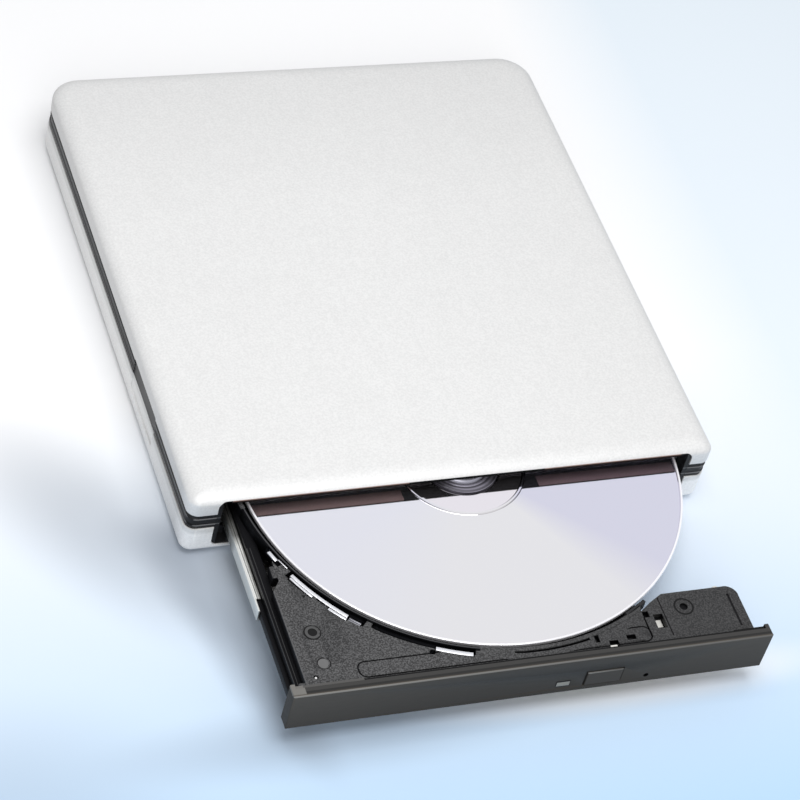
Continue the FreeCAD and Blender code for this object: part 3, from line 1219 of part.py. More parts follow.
def objective_lens():
    """Domed lens in its collar."""
    low = SLED_TOP - 0.6
    profile = [(0, low), (LENS_RADIUS, low), (LENS_RADIUS, low + 0.9), (LENS_RADIUS - 0.5, low + 1.2),
               (1.0, low + 1.45), (0, low + 1.5)]
    return on_traverse(lathe(profile, 0, LENS_REST))


def laser_module():
    """Laser diode can at the outer end of the sled."""
    y = LENS_REST + SLED_HALF_LENGTH
    return on_traverse(rod_y(LASER_X, y, y + LASER_REACH, SLED_UNDER + LASER_RADIUS + SLED_GAP, LASER_RADIUS))


# Latch, solenoid and ejector below the ear

def latch_under():
    """Underside of the latch lever."""
    return RAISED_FLOOR + 0.6


def latch_lever():
    """Lever on the pivot below the ear, drawn as it catches and then swung back to let go."""
    z = latch_under()
    top = z + LATCH_THICK
    catch = CATCH_PIN_BACK + CATCH_PIN_RADIUS + CATCH_GAP
    tip = CATCH_PIN_REACH - CATCH_PIN_RADIUS + CATCH_BITE
    eye = disc(0, 0, z, top, LATCH_EYE)
    arm = plate([(0, -1.3), (6.2, -1.3), (6.2, 0.6), (0, 1.6)], z, top)
    hook = plate([(4.6, -1.0), (6.2, -1.0), (6.2, catch - 0.4), (6.6, catch), (tip, catch),
                  (tip, catch + 0.5), (tip - 1.2, catch + 1.2), (4.6, catch + 1.2)], z, top)
    tail = plate([(-2.1, 0), (-0.3, 0), (-0.3, -5.6), (-1.9, -5.6)], z, top)
    lever = cut(join(eye, arm, hook, tail), disc(0, 0, z - 1, top + 1, LATCH_PIN_RADIUS + RUN_GAP))
    lever.rotate(ORIGIN, UP, LATCH_SWING)
    lever.translate(point(LATCH_X, LATCH_Y))
    return lever


def catch_pin():
    """Pin on the raised bay's floor that the latch hooks when the tray is shut."""
    low = RAISED_FLOOR
    top = latch_under() + LATCH_THICK
    profile = [(0, low), (2.0, low), (2.0, low + 0.4), (CATCH_PIN_RADIUS, low + 0.4), (CATCH_PIN_RADIUS, top),
               (CATCH_PIN_RADIUS - 0.3, top + 0.3), (0, top + 0.3)]
    return lathe(profile, LATCH_X + CATCH_PIN_REACH, LATCH_Y + CATCH_PIN_BACK + TRAY_OUT)


def solenoid_middle():
    """Axis of the solenoid, in Y and Z."""
    return LATCH_Y - 4.8, latch_under() + LATCH_THICK / 2 + 0.2


def solenoid():
    """Coil body under the ear, bored for its plunger."""
    y, z = solenoid_middle()
    body = box(LATCH_X + 3.6, LATCH_X + 9.6, y - 2.3, y + 2.3, z - 1.1, DECK_UNDER)
    return cut(body, rod_x(LATCH_X + 3, LATCH_X + 8.6, y, z, 0.7 + RUN_GAP))


def solenoid_plunger():
    """Plunger that draws the latch's tail."""
    y, z = solenoid_middle()
    return rod_x(LATCH_X + 2.1, LATCH_X + 7.4, y, z, 0.7)


def ejector_level():
    """Height of the ejector's axis below the ear."""
    return RAISED_FLOOR + 1.9


def ejector_stop():
    """Front face of the tab on the pan that the ejector pushes against."""
    return EAR_BACK + EJECTOR_STROKE + TRAY_OUT + 0.3


def ejector_plunger():
    """Rod with a collar, guided by the ear's back wall."""
    z = ejector_level()
    stem = rod_y(EJECTOR_X, EAR_BACK - 6.4, EAR_BACK + EJECTOR_STROKE, z, EJECTOR_RADIUS)
    collar = rod_y(EJECTOR_X, EAR_BACK - 5.2, EAR_BACK - 4.3, z, 1.5)
    return join(stem, collar)


def ejector_spring():
    """Outer shape of the spring between the front wall and the ejector's collar."""
    z = ejector_level()
    outer = rod_y(EJECTOR_X, TRAY_FRONT + TRAY_WALL, EAR_BACK - 5.2, z, 1.45)
    return cut(outer, rod_y(EJECTOR_X, TRAY_FRONT, EAR_BACK, z, EJECTOR_RADIUS + 0.1))


def row_place(shape):
    """Move a finished piece so that the origin is under the middle of the object."""
    middle = (CASE_DEPTH + BEZEL_FRONT - BUTTON_PROUD) / 2
    placed = shape.copy()
    placed.translate(point(-CASE_MIDDLE, -middle, FOOT_PROUD - CASE_BOTTOM))
    return placed


def pieces():
    """Every piece by the name of its node."""
    found = {
        "top_cover": top_cover(),
        "bottom_cover": bottom_cover(),
        "middle_frame": middle_frame(),
        "rubber_feet": rubber_feet(),
        "case_screws": case_screws(),
        "bridge_board": bridge_board(),
        "bridge_chips": bridge_chips(),
        "bridge_screws": bridge_screw_pair(),
        "bridge_socket": bridge_socket(),
        "usb_socket": usb_socket(),
        "drive_pan": drive_pan(),
        "drive_lid": drive_lid(),
        "lid_screws": lid_screws(),
        "main_board": main_board(),
        "main_chips": main_chips(),
        "drive_plug": drive_plug(),
        "ribbon_cable": ribbon_cable(),
        "catch_pin": catch_pin(),
        "left_rail_guide": rail_guide(),
        "right_rail_guide": mirror_bay(rail_guide()),
        "left_rail": rail(),
        "right_rail": mirror_bay(rail()),
        "tray": tray(),
        "steel_clips": steel_clips(),
        "tray_shield": tray_shield(),
        "shield_screws": shield_screws(),
        "bezel": bezel(),
        "eject_button": eject_button(),
        "led_lens": led_lens(),
        "button_board": button_board(),
        "status_lamp": status_lamp(),
        "switch_body": switch_body(),
        "switch_plunger": switch_plunger(),
        "spindle_motor": spindle_motor(),
        "turntable": turntable(),
        "turntable_pad": turntable_pad(),
        "dvd_disc": dvd_disc(),
        "traverse_chassis": traverse_chassis(),
        "rubber_dampers": rubber_dampers(),
        "guide_rods": guide_rods(),
        "lead_screw": lead_screw(),
        "feed_motor": feed_motor(),
        "pickup_sled": pickup_sled(),
        "actuator_magnets": actuator_magnets(),
        "lens_holder": lens_holder(),
        "objective_lens": objective_lens(),
        "laser_module": laser_module(),
        "latch_lever": latch_lever(),
        "solenoid": solenoid(),
        "solenoid_plunger": solenoid_plunger(),
        "ejector_plunger": ejector_plunger(),
        "ejector_spring": ejector_spring(),
    }
    for index in range(CLAW_COUNT):
        found[f"hub_claw_{index + 1}"] = hub_claw(index)
    return found


def main():
    """Write each piece to its own STEP file."""
    os.makedirs("parts", exist_ok=True)
    for name, shape in pieces().items():
        placed = row_place(shape)
        if not placed.isValid():
            print("not valid:", name)
        placed.exportStep(os.path.join("parts", name + ".step"))
        print(name, len(placed.Solids), round(placed.Volume, 1))


main()
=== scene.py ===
"""Looks of a slim external disc drive with its tray part-open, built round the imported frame."""

import json
import logging
import math
from dataclasses import dataclass
from enum import Enum
from typing import Iterable, Protocol, Sequence

import bmesh
import bpy
from mathutils import Matrix, Vector


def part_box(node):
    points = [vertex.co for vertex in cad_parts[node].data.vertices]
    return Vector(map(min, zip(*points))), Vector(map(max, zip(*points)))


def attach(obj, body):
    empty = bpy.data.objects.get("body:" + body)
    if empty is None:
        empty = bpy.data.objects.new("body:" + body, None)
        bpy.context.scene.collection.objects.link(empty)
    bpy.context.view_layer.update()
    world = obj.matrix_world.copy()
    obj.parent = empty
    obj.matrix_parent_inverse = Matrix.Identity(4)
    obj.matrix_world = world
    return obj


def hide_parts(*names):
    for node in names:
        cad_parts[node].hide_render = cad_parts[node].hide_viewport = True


MM = 0.001
DOUBLE = 0.002 * MM  # corners closer together than this are one
SMOOTH = math.radians(32)  # edges that turn more than this stay sharp in the shading
SHARP = math.radians(35)  # edges that turn more than this are eased
LIP_RISE = 0.2 * MM  # from the deck up to the top of the tray's lip
OPENING_OVER = 0.5 * MM  # from the bezel up to the top of the opening
PAST = 1.0 * MM  # how far a cutter reaches past what it cuts
LOG = logging.getLogger("disc_drive")

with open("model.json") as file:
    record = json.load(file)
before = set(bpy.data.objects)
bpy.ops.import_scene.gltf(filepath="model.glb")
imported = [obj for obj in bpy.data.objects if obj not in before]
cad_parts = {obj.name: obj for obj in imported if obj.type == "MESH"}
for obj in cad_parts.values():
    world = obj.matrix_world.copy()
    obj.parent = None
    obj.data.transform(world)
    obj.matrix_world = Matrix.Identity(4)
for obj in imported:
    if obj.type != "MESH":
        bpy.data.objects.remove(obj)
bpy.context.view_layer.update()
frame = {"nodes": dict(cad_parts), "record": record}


def middle_of(node: str) -> Vector:
    """The middle of a CAD node's box."""
    low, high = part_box(node)
    return (low + high) / 2


def deck_level() -> float:
    """Height of the tray's deck, which lies below the top of its lip."""
    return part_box("tray")[1].z - LIP_RISE


class Slot(Enum):
    """Material slots of the record, by what they are on the drive."""

    SHELL = "silver_alloy"
    FRAME = "black_frame"
    TRAY = "tray_black"
    BEZEL = "bezel_grey"
    FOOT = "foot_rubber"
    SHEET = "sheet_steel"
    BRIGHT = "bright_steel"
    SCREW = "screw_steel"
    BOARD = "board_green"
    CHIP = "chip_black"
    SOCKET = "socket_black"
    WHITE = "white_plastic"
    CABLE = "cable_white"
    WINDOW = "clear_window"
    LENS = "lens_glass"
    DISC = "disc_mirror"
    SOFT = "grey_rubber"
    MAGNET = "magnet_metal"
    CASTING = "alloy_casting"
    COIL = "copper_coil"


class Body(Enum):
    """Moving bodies of the frame that new pieces ride on."""

    CASE = "case"
    LEFT_RAIL = "left_rail"
    RIGHT_RAIL = "right_rail"
    TRAY = "tray"
    BUTTON = "eject_button"
    ROTOR = "rotor"


@dataclass(frozen=True)
class Tone:
    """A linear colour."""

    red: float
    green: float
    blue: float

    def rgba(self) -> tuple[float, float, float, float]:
        """The colour as a socket wants it."""
        return (self.red, self.green, self.blue, 1.0)

    def scaled(self, factor: float) -> "Tone":
        """The same hue, lighter or darker."""
        return Tone(self.red * factor, self.green * factor, self.blue * factor)


class Sock:
    """A node's output that takes part in Python arithmetic."""

    def __init__(self, ink: "Nodes", socket: bpy.types.NodeSocket) -> None:
        self.ink = ink
        self.socket = socket

    def __add__(self, other: "Sock | float") -> "Sock":
        """Sum."""
        return self.ink.math("ADD", self, other)

    __radd__ = __add__

    def __mul__(self, other: "Sock | float") -> "Sock":
        """Product."""
        return self.ink.math("MULTIPLY", self, other)

    __rmul__ = __mul__

    def __sub__(self, other: "Sock | float") -> "Sock":
        """Difference."""
        return self.ink.math("SUBTRACT", self, other)

    def __rsub__(self, other: float) -> "Sock":
        """Difference with the socket on the right."""
        return self.ink.math("SUBTRACT", other, self)

    def __truediv__(self, other: "Sock | float") -> "Sock":
        """Quotient."""
        return self.ink.math("DIVIDE", self, other)

    def __gt__(self, other: "Sock | float") -> "Sock":
        """One where the socket is greater."""
        return self.ink.math("GREATER_THAN", self, other)

    def __lt__(self, other: "Sock | float") -> "Sock":
        """One where the socket is less."""
        return self.ink.math("LESS_THAN", self, other)

    def __pow__(self, other: float) -> "Sock":
        """Power."""
        return self.ink.math("POWER", self, other)


class Nodes:
    """A node tree written as expressions."""

    def __init__(self, tree: bpy.types.NodeTree) -> None:
        self.tree = tree
        self.tree.nodes.clear()

    def node(self, kind: str, settings: dict[str, object] | None = None,
             links: dict[int | str, object] | None = None, out: int | str = 0) -> Sock:
        """Add any node.

        Args:
            kind: The node's type.
            settings: Attributes set first.
            links: Values or sockets for its inputs, by name or index.
            out: The output to return.

        Returns:
            The chosen output.
        """
        made = self.tree.nodes.new(kind)
        for key, value in (settings or {}).items():
            setattr(made, key, value)
        for key, value in (links or {}).items():
            self.feed(made.inputs[key], value)
        return Sock(self, made.outputs[out])

    def feed(self, socket: bpy.types.NodeSocket, value: "Sock | Tone | float | Sequence[float]") -> None:
        """Link a socket or set its value."""
        if isinstance(value, Sock):
            self.tree.links.new(value.socket, socket)
        elif isinstance(value, Tone):
            socket.default_value = value.rgba()
        else:
            socket.default_value = value

    def math(self, operation: str, first: "Sock | float", second: "Sock | float" = 0.0) -> Sock:
        """A Math node on one or two numbers."""
        return self.node("ShaderNodeMath", {"operation": operation}, {0: first, 1: second})

    def most(self, *values: "Sock | float") -> Sock:
        """The greatest of several numbers."""
        top = values[0]
        for value in values[1:]:
            top = self.math("MAXIMUM", top, value)
        return top


class Shader(Nodes):
    """One material's node tree."""

    def __init__(self, name: str) -> None:
        self.material = bpy.data.materials.new(name)
        self.material.use_nodes = True
        super().__init__(self.material.node_tree)
        self.output = self.tree.nodes.new("ShaderNodeOutputMaterial")

    def place(self, centre: Sequence[float] = (0, 0, 0), scale: Sequence[float] = (1, 1, 1),
              turn: float = 0.0) -> Sock:
        """Object coordinates, centred, turned about Z and stretched.

        Args:
            centre: Point that becomes the origin.
            scale: Stretch of each axis after that.
            turn: Turn about Z in radians.

        Returns:
            The coordinates.
        """
        raw = self.node("ShaderNodeTexCoord", out="Object")
        moved = self.node("ShaderNodeVectorMath", {"operation": "SUBTRACT"}, {0: raw, 1: tuple(centre)})
        return self.node("ShaderNodeMapping", {"vector_type": "POINT"},
                         {"Vector": moved, "Rotation": (0, 0, turn), "Scale": tuple(scale)})

    def axes(self, vector: Sock) -> tuple[Sock, Sock, Sock]:
        """The three numbers of a vector."""
        split = self.tree.nodes.new("ShaderNodeSeparateXYZ")
        self.feed(split.inputs[0], vector)
        return tuple(Sock(self, split.outputs[index]) for index in range(3))

    def noise(self, vector: Sock, grain: float, detail: float = 2.0, rough: float = 0.5) -> Sock:
        """Soft noise whose grain is given in metres."""
        return self.node("ShaderNodeTexNoise", {"noise_dimensions": "3D"},
                         {"Vector": vector, "Scale": 1.0 / grain, "Detail": detail, "Roughness": rough})

    def turning(self, radius: Sock, grain: float) -> Sock:
        """Turning marks: noise along a radius, with its grain in metres."""
        return self.node("ShaderNodeTexNoise", {"noise_dimensions": "1D"},
                         {"W": radius, "Scale": 1.0 / grain, "Detail": 2.0})

    def band(self, value: Sock, low: float, high: float) -> Sock:
        """One where a number lies between two others, else zero."""
        return (value > low) * (value < high)

    def radius(self, x: Sock, y: Sock) -> Sock:
        """Distance from the origin of two axes."""
        return (x * x + y * y) ** 0.5

    def spread(self, value: Sock, low: float, high: float, to_low: float, to_high: float) -> Sock:
        """Move a number from one range to another, clamped."""
        return self.node("ShaderNodeMapRange", {"clamp": True},
                         {"Value": value, "From Min": low, "From Max": high, "To Min": to_low,
                          "To Max": to_high})

    def blend(self, factor: "Sock | float", first: "Sock | Tone", second: "Sock | Tone") -> Sock:
        """Mix two colours."""
        return self.node("ShaderNodeMix", {"data_type": "RGBA", "blend_type": "MIX"},
                         {0: factor, 6: first, 7: second}, out=2)

    def shades(self, factor: "Sock | float", tone: Tone, dark: float, light: float) -> Sock:
        """One colour between a darker and a lighter share of itself."""
        return self.blend(factor, tone.scaled(dark), tone.scaled(light))

    def vary(self, noise: Sock, low: float, high: float) -> Sock:
        """A number that follows a noise between two ends."""
        return self.spread(noise, 0.3, 0.7, low, high)

    def tint(self, colour: "Sock | Tone", factor: Sock) -> Sock:
        """Darken or lighten a colour by a varying number."""
        grey = self.node("ShaderNodeCombineColor", {}, {0: factor, 1: factor, 2: factor})
        return self.node("ShaderNodeMix", {"data_type": "RGBA", "blend_type": "MULTIPLY"},
                         {0: 1.0, 6: colour, 7: grey}, out=2)

    def bump(self, height: Sock, depth: float, strength: float) -> Sock:
        """A Bump node of a real depth in metres."""
        return self.node("ShaderNodeBump", {}, {"Strength": strength, "Distance": depth, "Height": height})

    def surface(self, colour: "Sock | Tone", roughness: "Sock | float", metallic: "Sock | float" = 0.0,
                normal: Sock | None = None, **constants: float) -> bpy.types.Material:
        """Finish the material with one Principled shader.

        Args:
            colour: Base colour.
            roughness: Roughness.
            metallic: Metallic.
            normal: Output of a Bump node.
            constants: Other sockets by name, with _ for a space; numbers only.

        Returns:
            The material.
        """
        shader = self.tree.nodes.new("ShaderNodeBsdfPrincipled")
        self.feed(shader.inputs["Base Color"], colour)
        self.feed(shader.inputs["Roughness"], roughness)
        self.feed(shader.inputs["Metallic"], metallic)
        if normal is not None:
            self.feed(shader.inputs["Normal"], normal)
        for key, value in constants.items():
            shader.inputs[key.replace("_", " ")].default_value = value
        self.tree.links.new(shader.outputs[0], self.output.inputs[0])
        return self.material


class Finish(Protocol):
    """What every finish can do.

    In a finish, tones are the darkest and the lightest share of its colour, roughness its lowest and
    highest value, and relief the depth and strength of its bump. Another pair of sizes is where a change
    of tone starts and ends.
    """

    def build(self, name: str) -> bpy.types.Material:
        """Make the material."""


@dataclass(frozen=True)
class BlastedAlloy:
    """Fine blasted, clear anodised shell, with painted shade and painted light in its colour."""

    node: str = "top_cover"
    tone: Tone = Tone(0.785, 0.785, 0.78)
    grain: float = 0.6 * MM
    cloud: float = 9.0 * MM
    tones: tuple[float, float] = (0.89, 1.07)
    roughness: tuple[float, float] = (0.38, 0.48)
    relief: tuple[float, float] = (0.015 * MM, 0.5)
    metallic: float = 0.12
    roll: tuple[float, float] = (2.0 * MM, 0.1 * MM)
    front_roll: tuple[float, float] = (2.2 * MM, 1.4 * MM)
    side_from: tuple[float, float] = (3.0 * MM, 8.0 * MM)
    band: float = 5.0 * MM
    under_band: tuple[float, float] = (2.2 * MM, 1.2 * MM)
    far_end: tuple[float, float] = (60.0 * MM, 5.0 * MM)
    # painted shade and painted light: factors that darken or lighten the colour by place
    wall_shade: float = 0.80
    front_shade: float = 0.16
    under_light: float = 1.25
    far_shade: float = 0.93
    right_shade: float = 0.96

    def build(self, name: str) -> bpy.types.Material:
        """Make the material."""
        ink = Shader(name)
        spot = ink.place()
        grain = ink.noise(spot, self.grain, 3.0, 0.6)
        cloud = ink.noise(spot, self.cloud, 2.0)
        drawn = ink.noise(ink.place(scale=(1.0, 0.2, 1.0)), self.grain * 2.0, 2.0)
        fleck = ink.spread(grain, 0.36, 0.64, 0.0, 1.0)
        mix = fleck * 0.55 + drawn * 0.25 + cloud * 0.2
        # the colour carries painted shade and painted light by place
        colour = ink.tint(ink.shades(mix, self.tone, *self.tones), self.painted_shade(ink, spot))
        rough = ink.vary(grain, *self.roughness)
        return ink.surface(colour, rough, self.metallic, ink.bump(grain, *self.relief))

    def painted_shade(self, ink: Shader, spot: Sock) -> Sock:
        """Painted shade and painted light: the walls, the far end, the right side and the front roll are
        darker than the top, and the bottom shell is lighter.

        Args:
            ink: The material's node tree.
            spot: The coordinates.

        Returns:
            The factor for the colour.
        """
        low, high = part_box(self.node)
        x, y, z = ink.axes(spot)
        wall = ink.spread(z, high.z - self.roll[0], high.z - self.roll[1], 1.0, 0.0)
        side = ink.spread(y, low.y + self.side_from[0], low.y + self.side_from[1], 0.0, 1.0)
        front = ink.spread(z, high.z - self.front_roll[0], high.z - self.front_roll[1], 0.0, 1.0)
        front = front * wall * (1.0 - side)
        seam = low.z - self.band
        under = ink.spread(z, seam - self.under_band[0], seam - self.under_band[1], self.under_light, 1.0)
        far = ink.spread(y, high.y - self.far_end[0], high.y - self.far_end[1], 1.0, self.far_shade)
        right = ink.spread(x, 0.0, high.x, 1.0, self.right_shade)
        shade = 1.0 - wall * side * (1.0 - self.wall_shade) - front * self.front_shade
        return shade * under * far * right


@dataclass(frozen=True)
class BandPlastic:
    """Black moulding with a painted highlight along the upper edge of its two ridges."""

    node: str = "middle_frame"
    tone: Tone = Tone(0.010, 0.010, 0.011)
    # line: colour of the painted highlight on the ridges' upper edges
    line: Tone = Tone(0.16, 0.16, 0.165)
    grain: float = 0.7 * MM
    patch: float = 9.0 * MM
    tones: tuple[float, float] = (0.8, 1.3)
    roughness: tuple[float, float] = (0.36, 0.44)
    relief: tuple[float, float] = (0.02 * MM, 0.5)
    shine: float = 0.25
    height: float = 5.0 * MM
    ridges: tuple[float, float] = (0.19, 0.63)
    ridge_height: float = 0.45 * MM
    line_height: float = 0.22 * MM
    line_over: float = 0.02 * MM
    reach: float = 0.35 * MM

    def build(self, name: str) -> bpy.types.Material:
        """Make the material."""
        low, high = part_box(self.node)
        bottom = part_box("top_cover")[0].z - self.height
        ink = Shader(name)
        spot = ink.place()
        x, y, z = ink.axes(spot)
        edge = ink.most(x < low.x + self.reach, y < low.y + self.reach,
                        x > high.x - self.reach, y > high.y - self.reach)
        # painted highlight: pale lines along the ridge tops on the outer faces
        line = 0.0
        for share in self.ridges:
            top = bottom + share * self.height + self.ridge_height
            line = ink.band(z, top - self.line_height, top + self.line_over) + line
        grain = ink.noise(spot, self.grain, 3.0, 0.6)
        patch = ink.noise(spot, self.patch, 2.0)
        colour = ink.blend(edge * line, ink.shades(patch, self.tone, *self.tones), self.line)
        rough = ink.vary(patch, *self.roughness)
        return ink.surface(colour, rough, 0.0, ink.bump(grain, *self.relief), Specular_IOR_Level=self.shine)


@dataclass(frozen=True)
class DeckPlastic:
    """Tray moulding: spark-textured, flecked deck above smooth black flanks, which are darker still as painted
    shade; painted shade towards the right and painted highlights on the ledge and the lip.
    """

    node: str = "tray"
    deck: Tone = Tone(0.040, 0.040, 0.041)
    # flank: smooth black of the sides, made darker than the deck as painted shade
    flank: Tone = Tone(0.006, 0.006, 0.007)
    grain: float = 0.40 * MM
    patch: float = 9.0 * MM
    tones: tuple[float, float] = (0.6, 1.3)
    fleck: float = 3.4
    # painted highlights: ledge_light on the left ledge's edge, lip_light along the lip
    ledge_light: float = 3.0
    lip_light: float = 1.7
    relief: tuple[float, float] = (0.05 * MM, 0.6)
    shine: float = 0.14
    fade: tuple[float, float] = (0.35 * MM, 0.06 * MM)
    fleck_sides: float = 30.0 * MM
    # right_side: how far to the right the painted shade of the deck reaches
    right_side: float = 45.0 * MM
    ledge: float = 3.0 * MM
    ledge_line: float = 0.3 * MM
    lip_line: tuple[float, float] = (61.85 * MM, 62.2 * MM)
    lip_reach: float = 62.8 * MM
    lip_arc: tuple[float, float] = (-172.0, -104.0)

    def build(self, name: str) -> bpy.types.Material:
        """Make the material."""
        ink = Shader(name)
        spot = ink.place()
        side, ahead, _ = ink.axes(ink.place(centre=middle_of("dvd_disc")))
        from_disc = ink.radius(side, ahead)
        angle = ink.math("ARCTAN2", ahead, side)
        start, end = (math.radians(degrees) for degrees in self.lip_arc)
        lip = ink.band(angle, start, end) * (from_disc < self.lip_reach)
        x, _, z = ink.axes(spot)
        raised = ink.spread(z, deck_level() - self.fade[0], deck_level() - self.fade[1], 0.0, 1.0)
        grain = ink.noise(spot, self.grain, 2.0, 0.6)
        patch = ink.noise(spot, self.patch, 3.0)
        light = ink.spread(grain, 0.42, 0.62, 0.0, 1.0)
        # painted shade: flecks weaker towards the right
        light = light * ink.spread(x, -self.fleck_sides, self.fleck_sides, 0.85, 0.5)
        flecked = ink.blend(light, ink.shades(patch, self.deck, *self.tones), self.deck.scaled(self.fleck))
        # the flanks take the flank tone: partly their own black, partly painted shade
        colour = ink.blend(raised, self.flank, flecked)
        # painted shade: the deck darker towards the right
        colour = ink.tint(colour, ink.spread(x, 0.0, self.right_side, 1.0, 0.78))
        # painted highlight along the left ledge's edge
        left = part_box(self.node)[0].x + self.ledge
        rim = ink.band(x, left, left + self.ledge_line) * raised
        colour = ink.blend(rim * 0.6, colour, self.deck.scaled(self.ledge_light))
        # the lip is painted in the flanks' dark tone, with a thin painted highlight along its top
        colour = ink.blend(lip, colour, self.flank)
        line = lip * raised * ink.band(from_disc, *self.lip_line)
        colour = ink.blend(line, colour, self.deck.scaled(self.lip_light))
        rough = 0.42 + raised * 0.2 + patch * 0.06
        dull = ink.most(lip, (1.0 - raised) * 0.6)
        bump = ink.bump(grain * raised, *self.relief)
        return ink.surface(colour, rough, dull, bump, Specular_IOR_Level=self.shine)


@dataclass(frozen=True)
class SatinFront:
    """Satin plastic of a front piece, with painted shade where it looks up and a painted highlight along its
    top front edge.
    """

    node: str
    tone: Tone = Tone(0.060, 0.0525, 0.0445)
    # ledge: tone of the top, darkened as painted shade
    ledge: Tone = Tone(0.046, 0.045, 0.044)
    # crest: colour of the painted highlight on the top front edge
    crest: Tone = Tone(0.18, 0.175, 0.165)
    grain: float = 0.6 * MM
    streak: float = 0.5 * MM
    tones: tuple[float, float] = (0.8, 1.2)
    roughness: tuple[float, float] = (0.50, 0.58)
    relief: tuple[float, float] = (0.012 * MM, 0.5)
    shine: float = 0.12
    # painted shade and light: front darker to its foot, highlight weaker to the right, front lighter at its
    # ends
    foot_to_head: tuple[float, float] = (0.72, 1.08)
    left_to_right: tuple[float, float] = (1.1, 0.62)
    edge: float = 0.26 * MM
    height: float = 12.5 * MM
    ends: tuple[float, float] = (0.93, 1.25)
    block: float = 3.4 * MM
    block_height: float = 1.3 * MM
    block_side: tuple[float, float] = (0.3 * MM, 0.5 * MM)
    side_line: float = 0.04 * MM
    # dark_strip: depth of the darker painted shade at the front of the top
    dark_strip: float = 1.5 * MM
    behind_from: tuple[float, float] = (0.5 * MM, 0.9 * MM)
    top_fade: tuple[float, float] = (0.12 * MM, 0.03 * MM)
    groove_from: float = 19.0 * MM
    pinhole: tuple[float, float] = (31.0 * MM, 2.8 * MM)
    pinhole_radius: float = 0.72 * MM

    def build(self, name: str) -> bpy.types.Material:
        """Make the material."""
        low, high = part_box(self.node)
        ink = Shader(name)
        spot = ink.place()
        x, y, z = ink.axes(spot)
        grain = ink.noise(spot, self.grain, 3.0, 0.6)
        # painted highlight along the top front edge, fading to the right
        crest = (y < low.y + self.edge * 1.7) * (z > high.z - self.edge)
        shine = ink.tint(self.crest, ink.spread(x, low.x, high.x, *self.left_to_right))
        behind = ink.spread(y, low.y + self.behind_from[0], low.y + self.behind_from[1], 0.0, 1.0)
        colour = ink.blend(behind, self.face(ink, x, z, grain), self.top(ink, x, y, z))
        colour = ink.blend(crest, colour, shine)
        rough = ink.vary(grain, *self.roughness)
        return ink.surface(colour, rough, 0.0, ink.bump(grain, *self.relief), Specular_IOR_Level=self.shine)

    def face(self, ink: Shader, x: Sock, z: Sock, grain: Sock) -> Sock:
        """Colour of the front: streaked, with painted shade towards its foot and on its left end face, painted
        light at its ends, and painted shade in and round the pinhole.

        Args:
            ink: The material's node tree.
            x: Where it is in x.
            z: Its height.
            grain: The fine noise of the surface.

        Returns:
            The colour.
        """
        low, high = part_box(self.node)
        middle = (low.x + high.x) / 2
        width = high.x - low.x
        streak = ink.noise(ink.place(scale=(0.08, 1.0, 1.0)), self.streak, 2.0)
        # painted shade towards the foot, painted light towards the ends
        depth = ink.spread(z, high.z - self.height, high.z, *self.foot_to_head)
        away = ink.math("ABSOLUTE", x - middle)
        depth = depth * ink.spread(away, width * 0.1, width * 0.5, *self.ends)
        front = ink.tint(ink.shades(grain * 0.6 + streak * 0.4, self.tone, *self.tones), depth)
        # painted shade on the left end face
        front = ink.blend(x < low.x + self.side_line, front, self.tone.scaled(0.7))
        # painted shade in and round the pinhole
        hole = ink.radius(x - (middle + self.pinhole[0]), z - (low.z + self.pinhole[1]))
        return ink.blend(hole < self.pinhole_radius, front, self.ledge.scaled(0.05))

    def top(self, ink: Shader, x: Sock, y: Sock, z: Sock) -> Sock:
        """Colour behind the front: the top in painted shade, darker near its front; the groove's flank with a
        painted dark line and, left of it, a painted highlight; the block at the left end painted pale in the
        highlight's tone; its end face in painted shade.

        Args:
            ink: The material's node tree.
            x: Where it is in x.
            y: Where it is in y.
            z: Its height.

        Returns:
            The colour.
        """
        low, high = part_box(self.node)
        upper = ink.spread(z, high.z - self.top_fade[0], high.z - self.top_fade[1], 0.0, 1.0)
        # painted shade on the top, darker near its front
        strip = ink.shades(y > low.y + self.dark_strip, self.ledge, 0.55, 1.05)
        # painted dark line along the groove's flank, painted highlight left of it
        rim = ink.shades(x > low.x + self.groove_from, self.ledge, 2.2, 0.1)
        back = ink.blend(upper, rim, strip)
        # the block at the left end is painted pale, in the highlight's tone
        block = (x < low.x + self.block) * (z > high.z - self.block_height)
        back = ink.blend(block, back, self.crest)
        # painted shade on the end face
        side = (x < low.x + self.block_side[0]) * (z < high.z - self.block_side[1])
        return ink.blend(side, back, self.tone.scaled(0.6))


@dataclass(frozen=True)
class RolledSteel:
    """Steel sheet with fine lines along one axis."""

    tone: Tone
    roughness: float = 0.35
    along: tuple[float, float, float] = (1.0, 0.04, 1.0)
    line: float = 0.25 * MM
    cloud: float = 7.0 * MM
    tones: tuple[float, float] = (0.84, 1.1)
    relief: tuple[float, float] = (0.006 * MM, 0.4)

    def build(self, name: str) -> bpy.types.Material:
        """Make the material."""
        ink = Shader(name)
        lines = ink.noise(ink.place(scale=self.along), self.line, 3.0, 0.6)
        cloud = ink.noise(ink.place(), self.cloud, 3.0)
        colour = ink.shades(lines * 0.6 + cloud * 0.4, self.tone, *self.tones)
        rough = ink.vary(lines, self.roughness - 0.07, self.roughness + 0.08)
        return ink.surface(colour, rough, 1.0, ink.bump(lines, *self.relief))


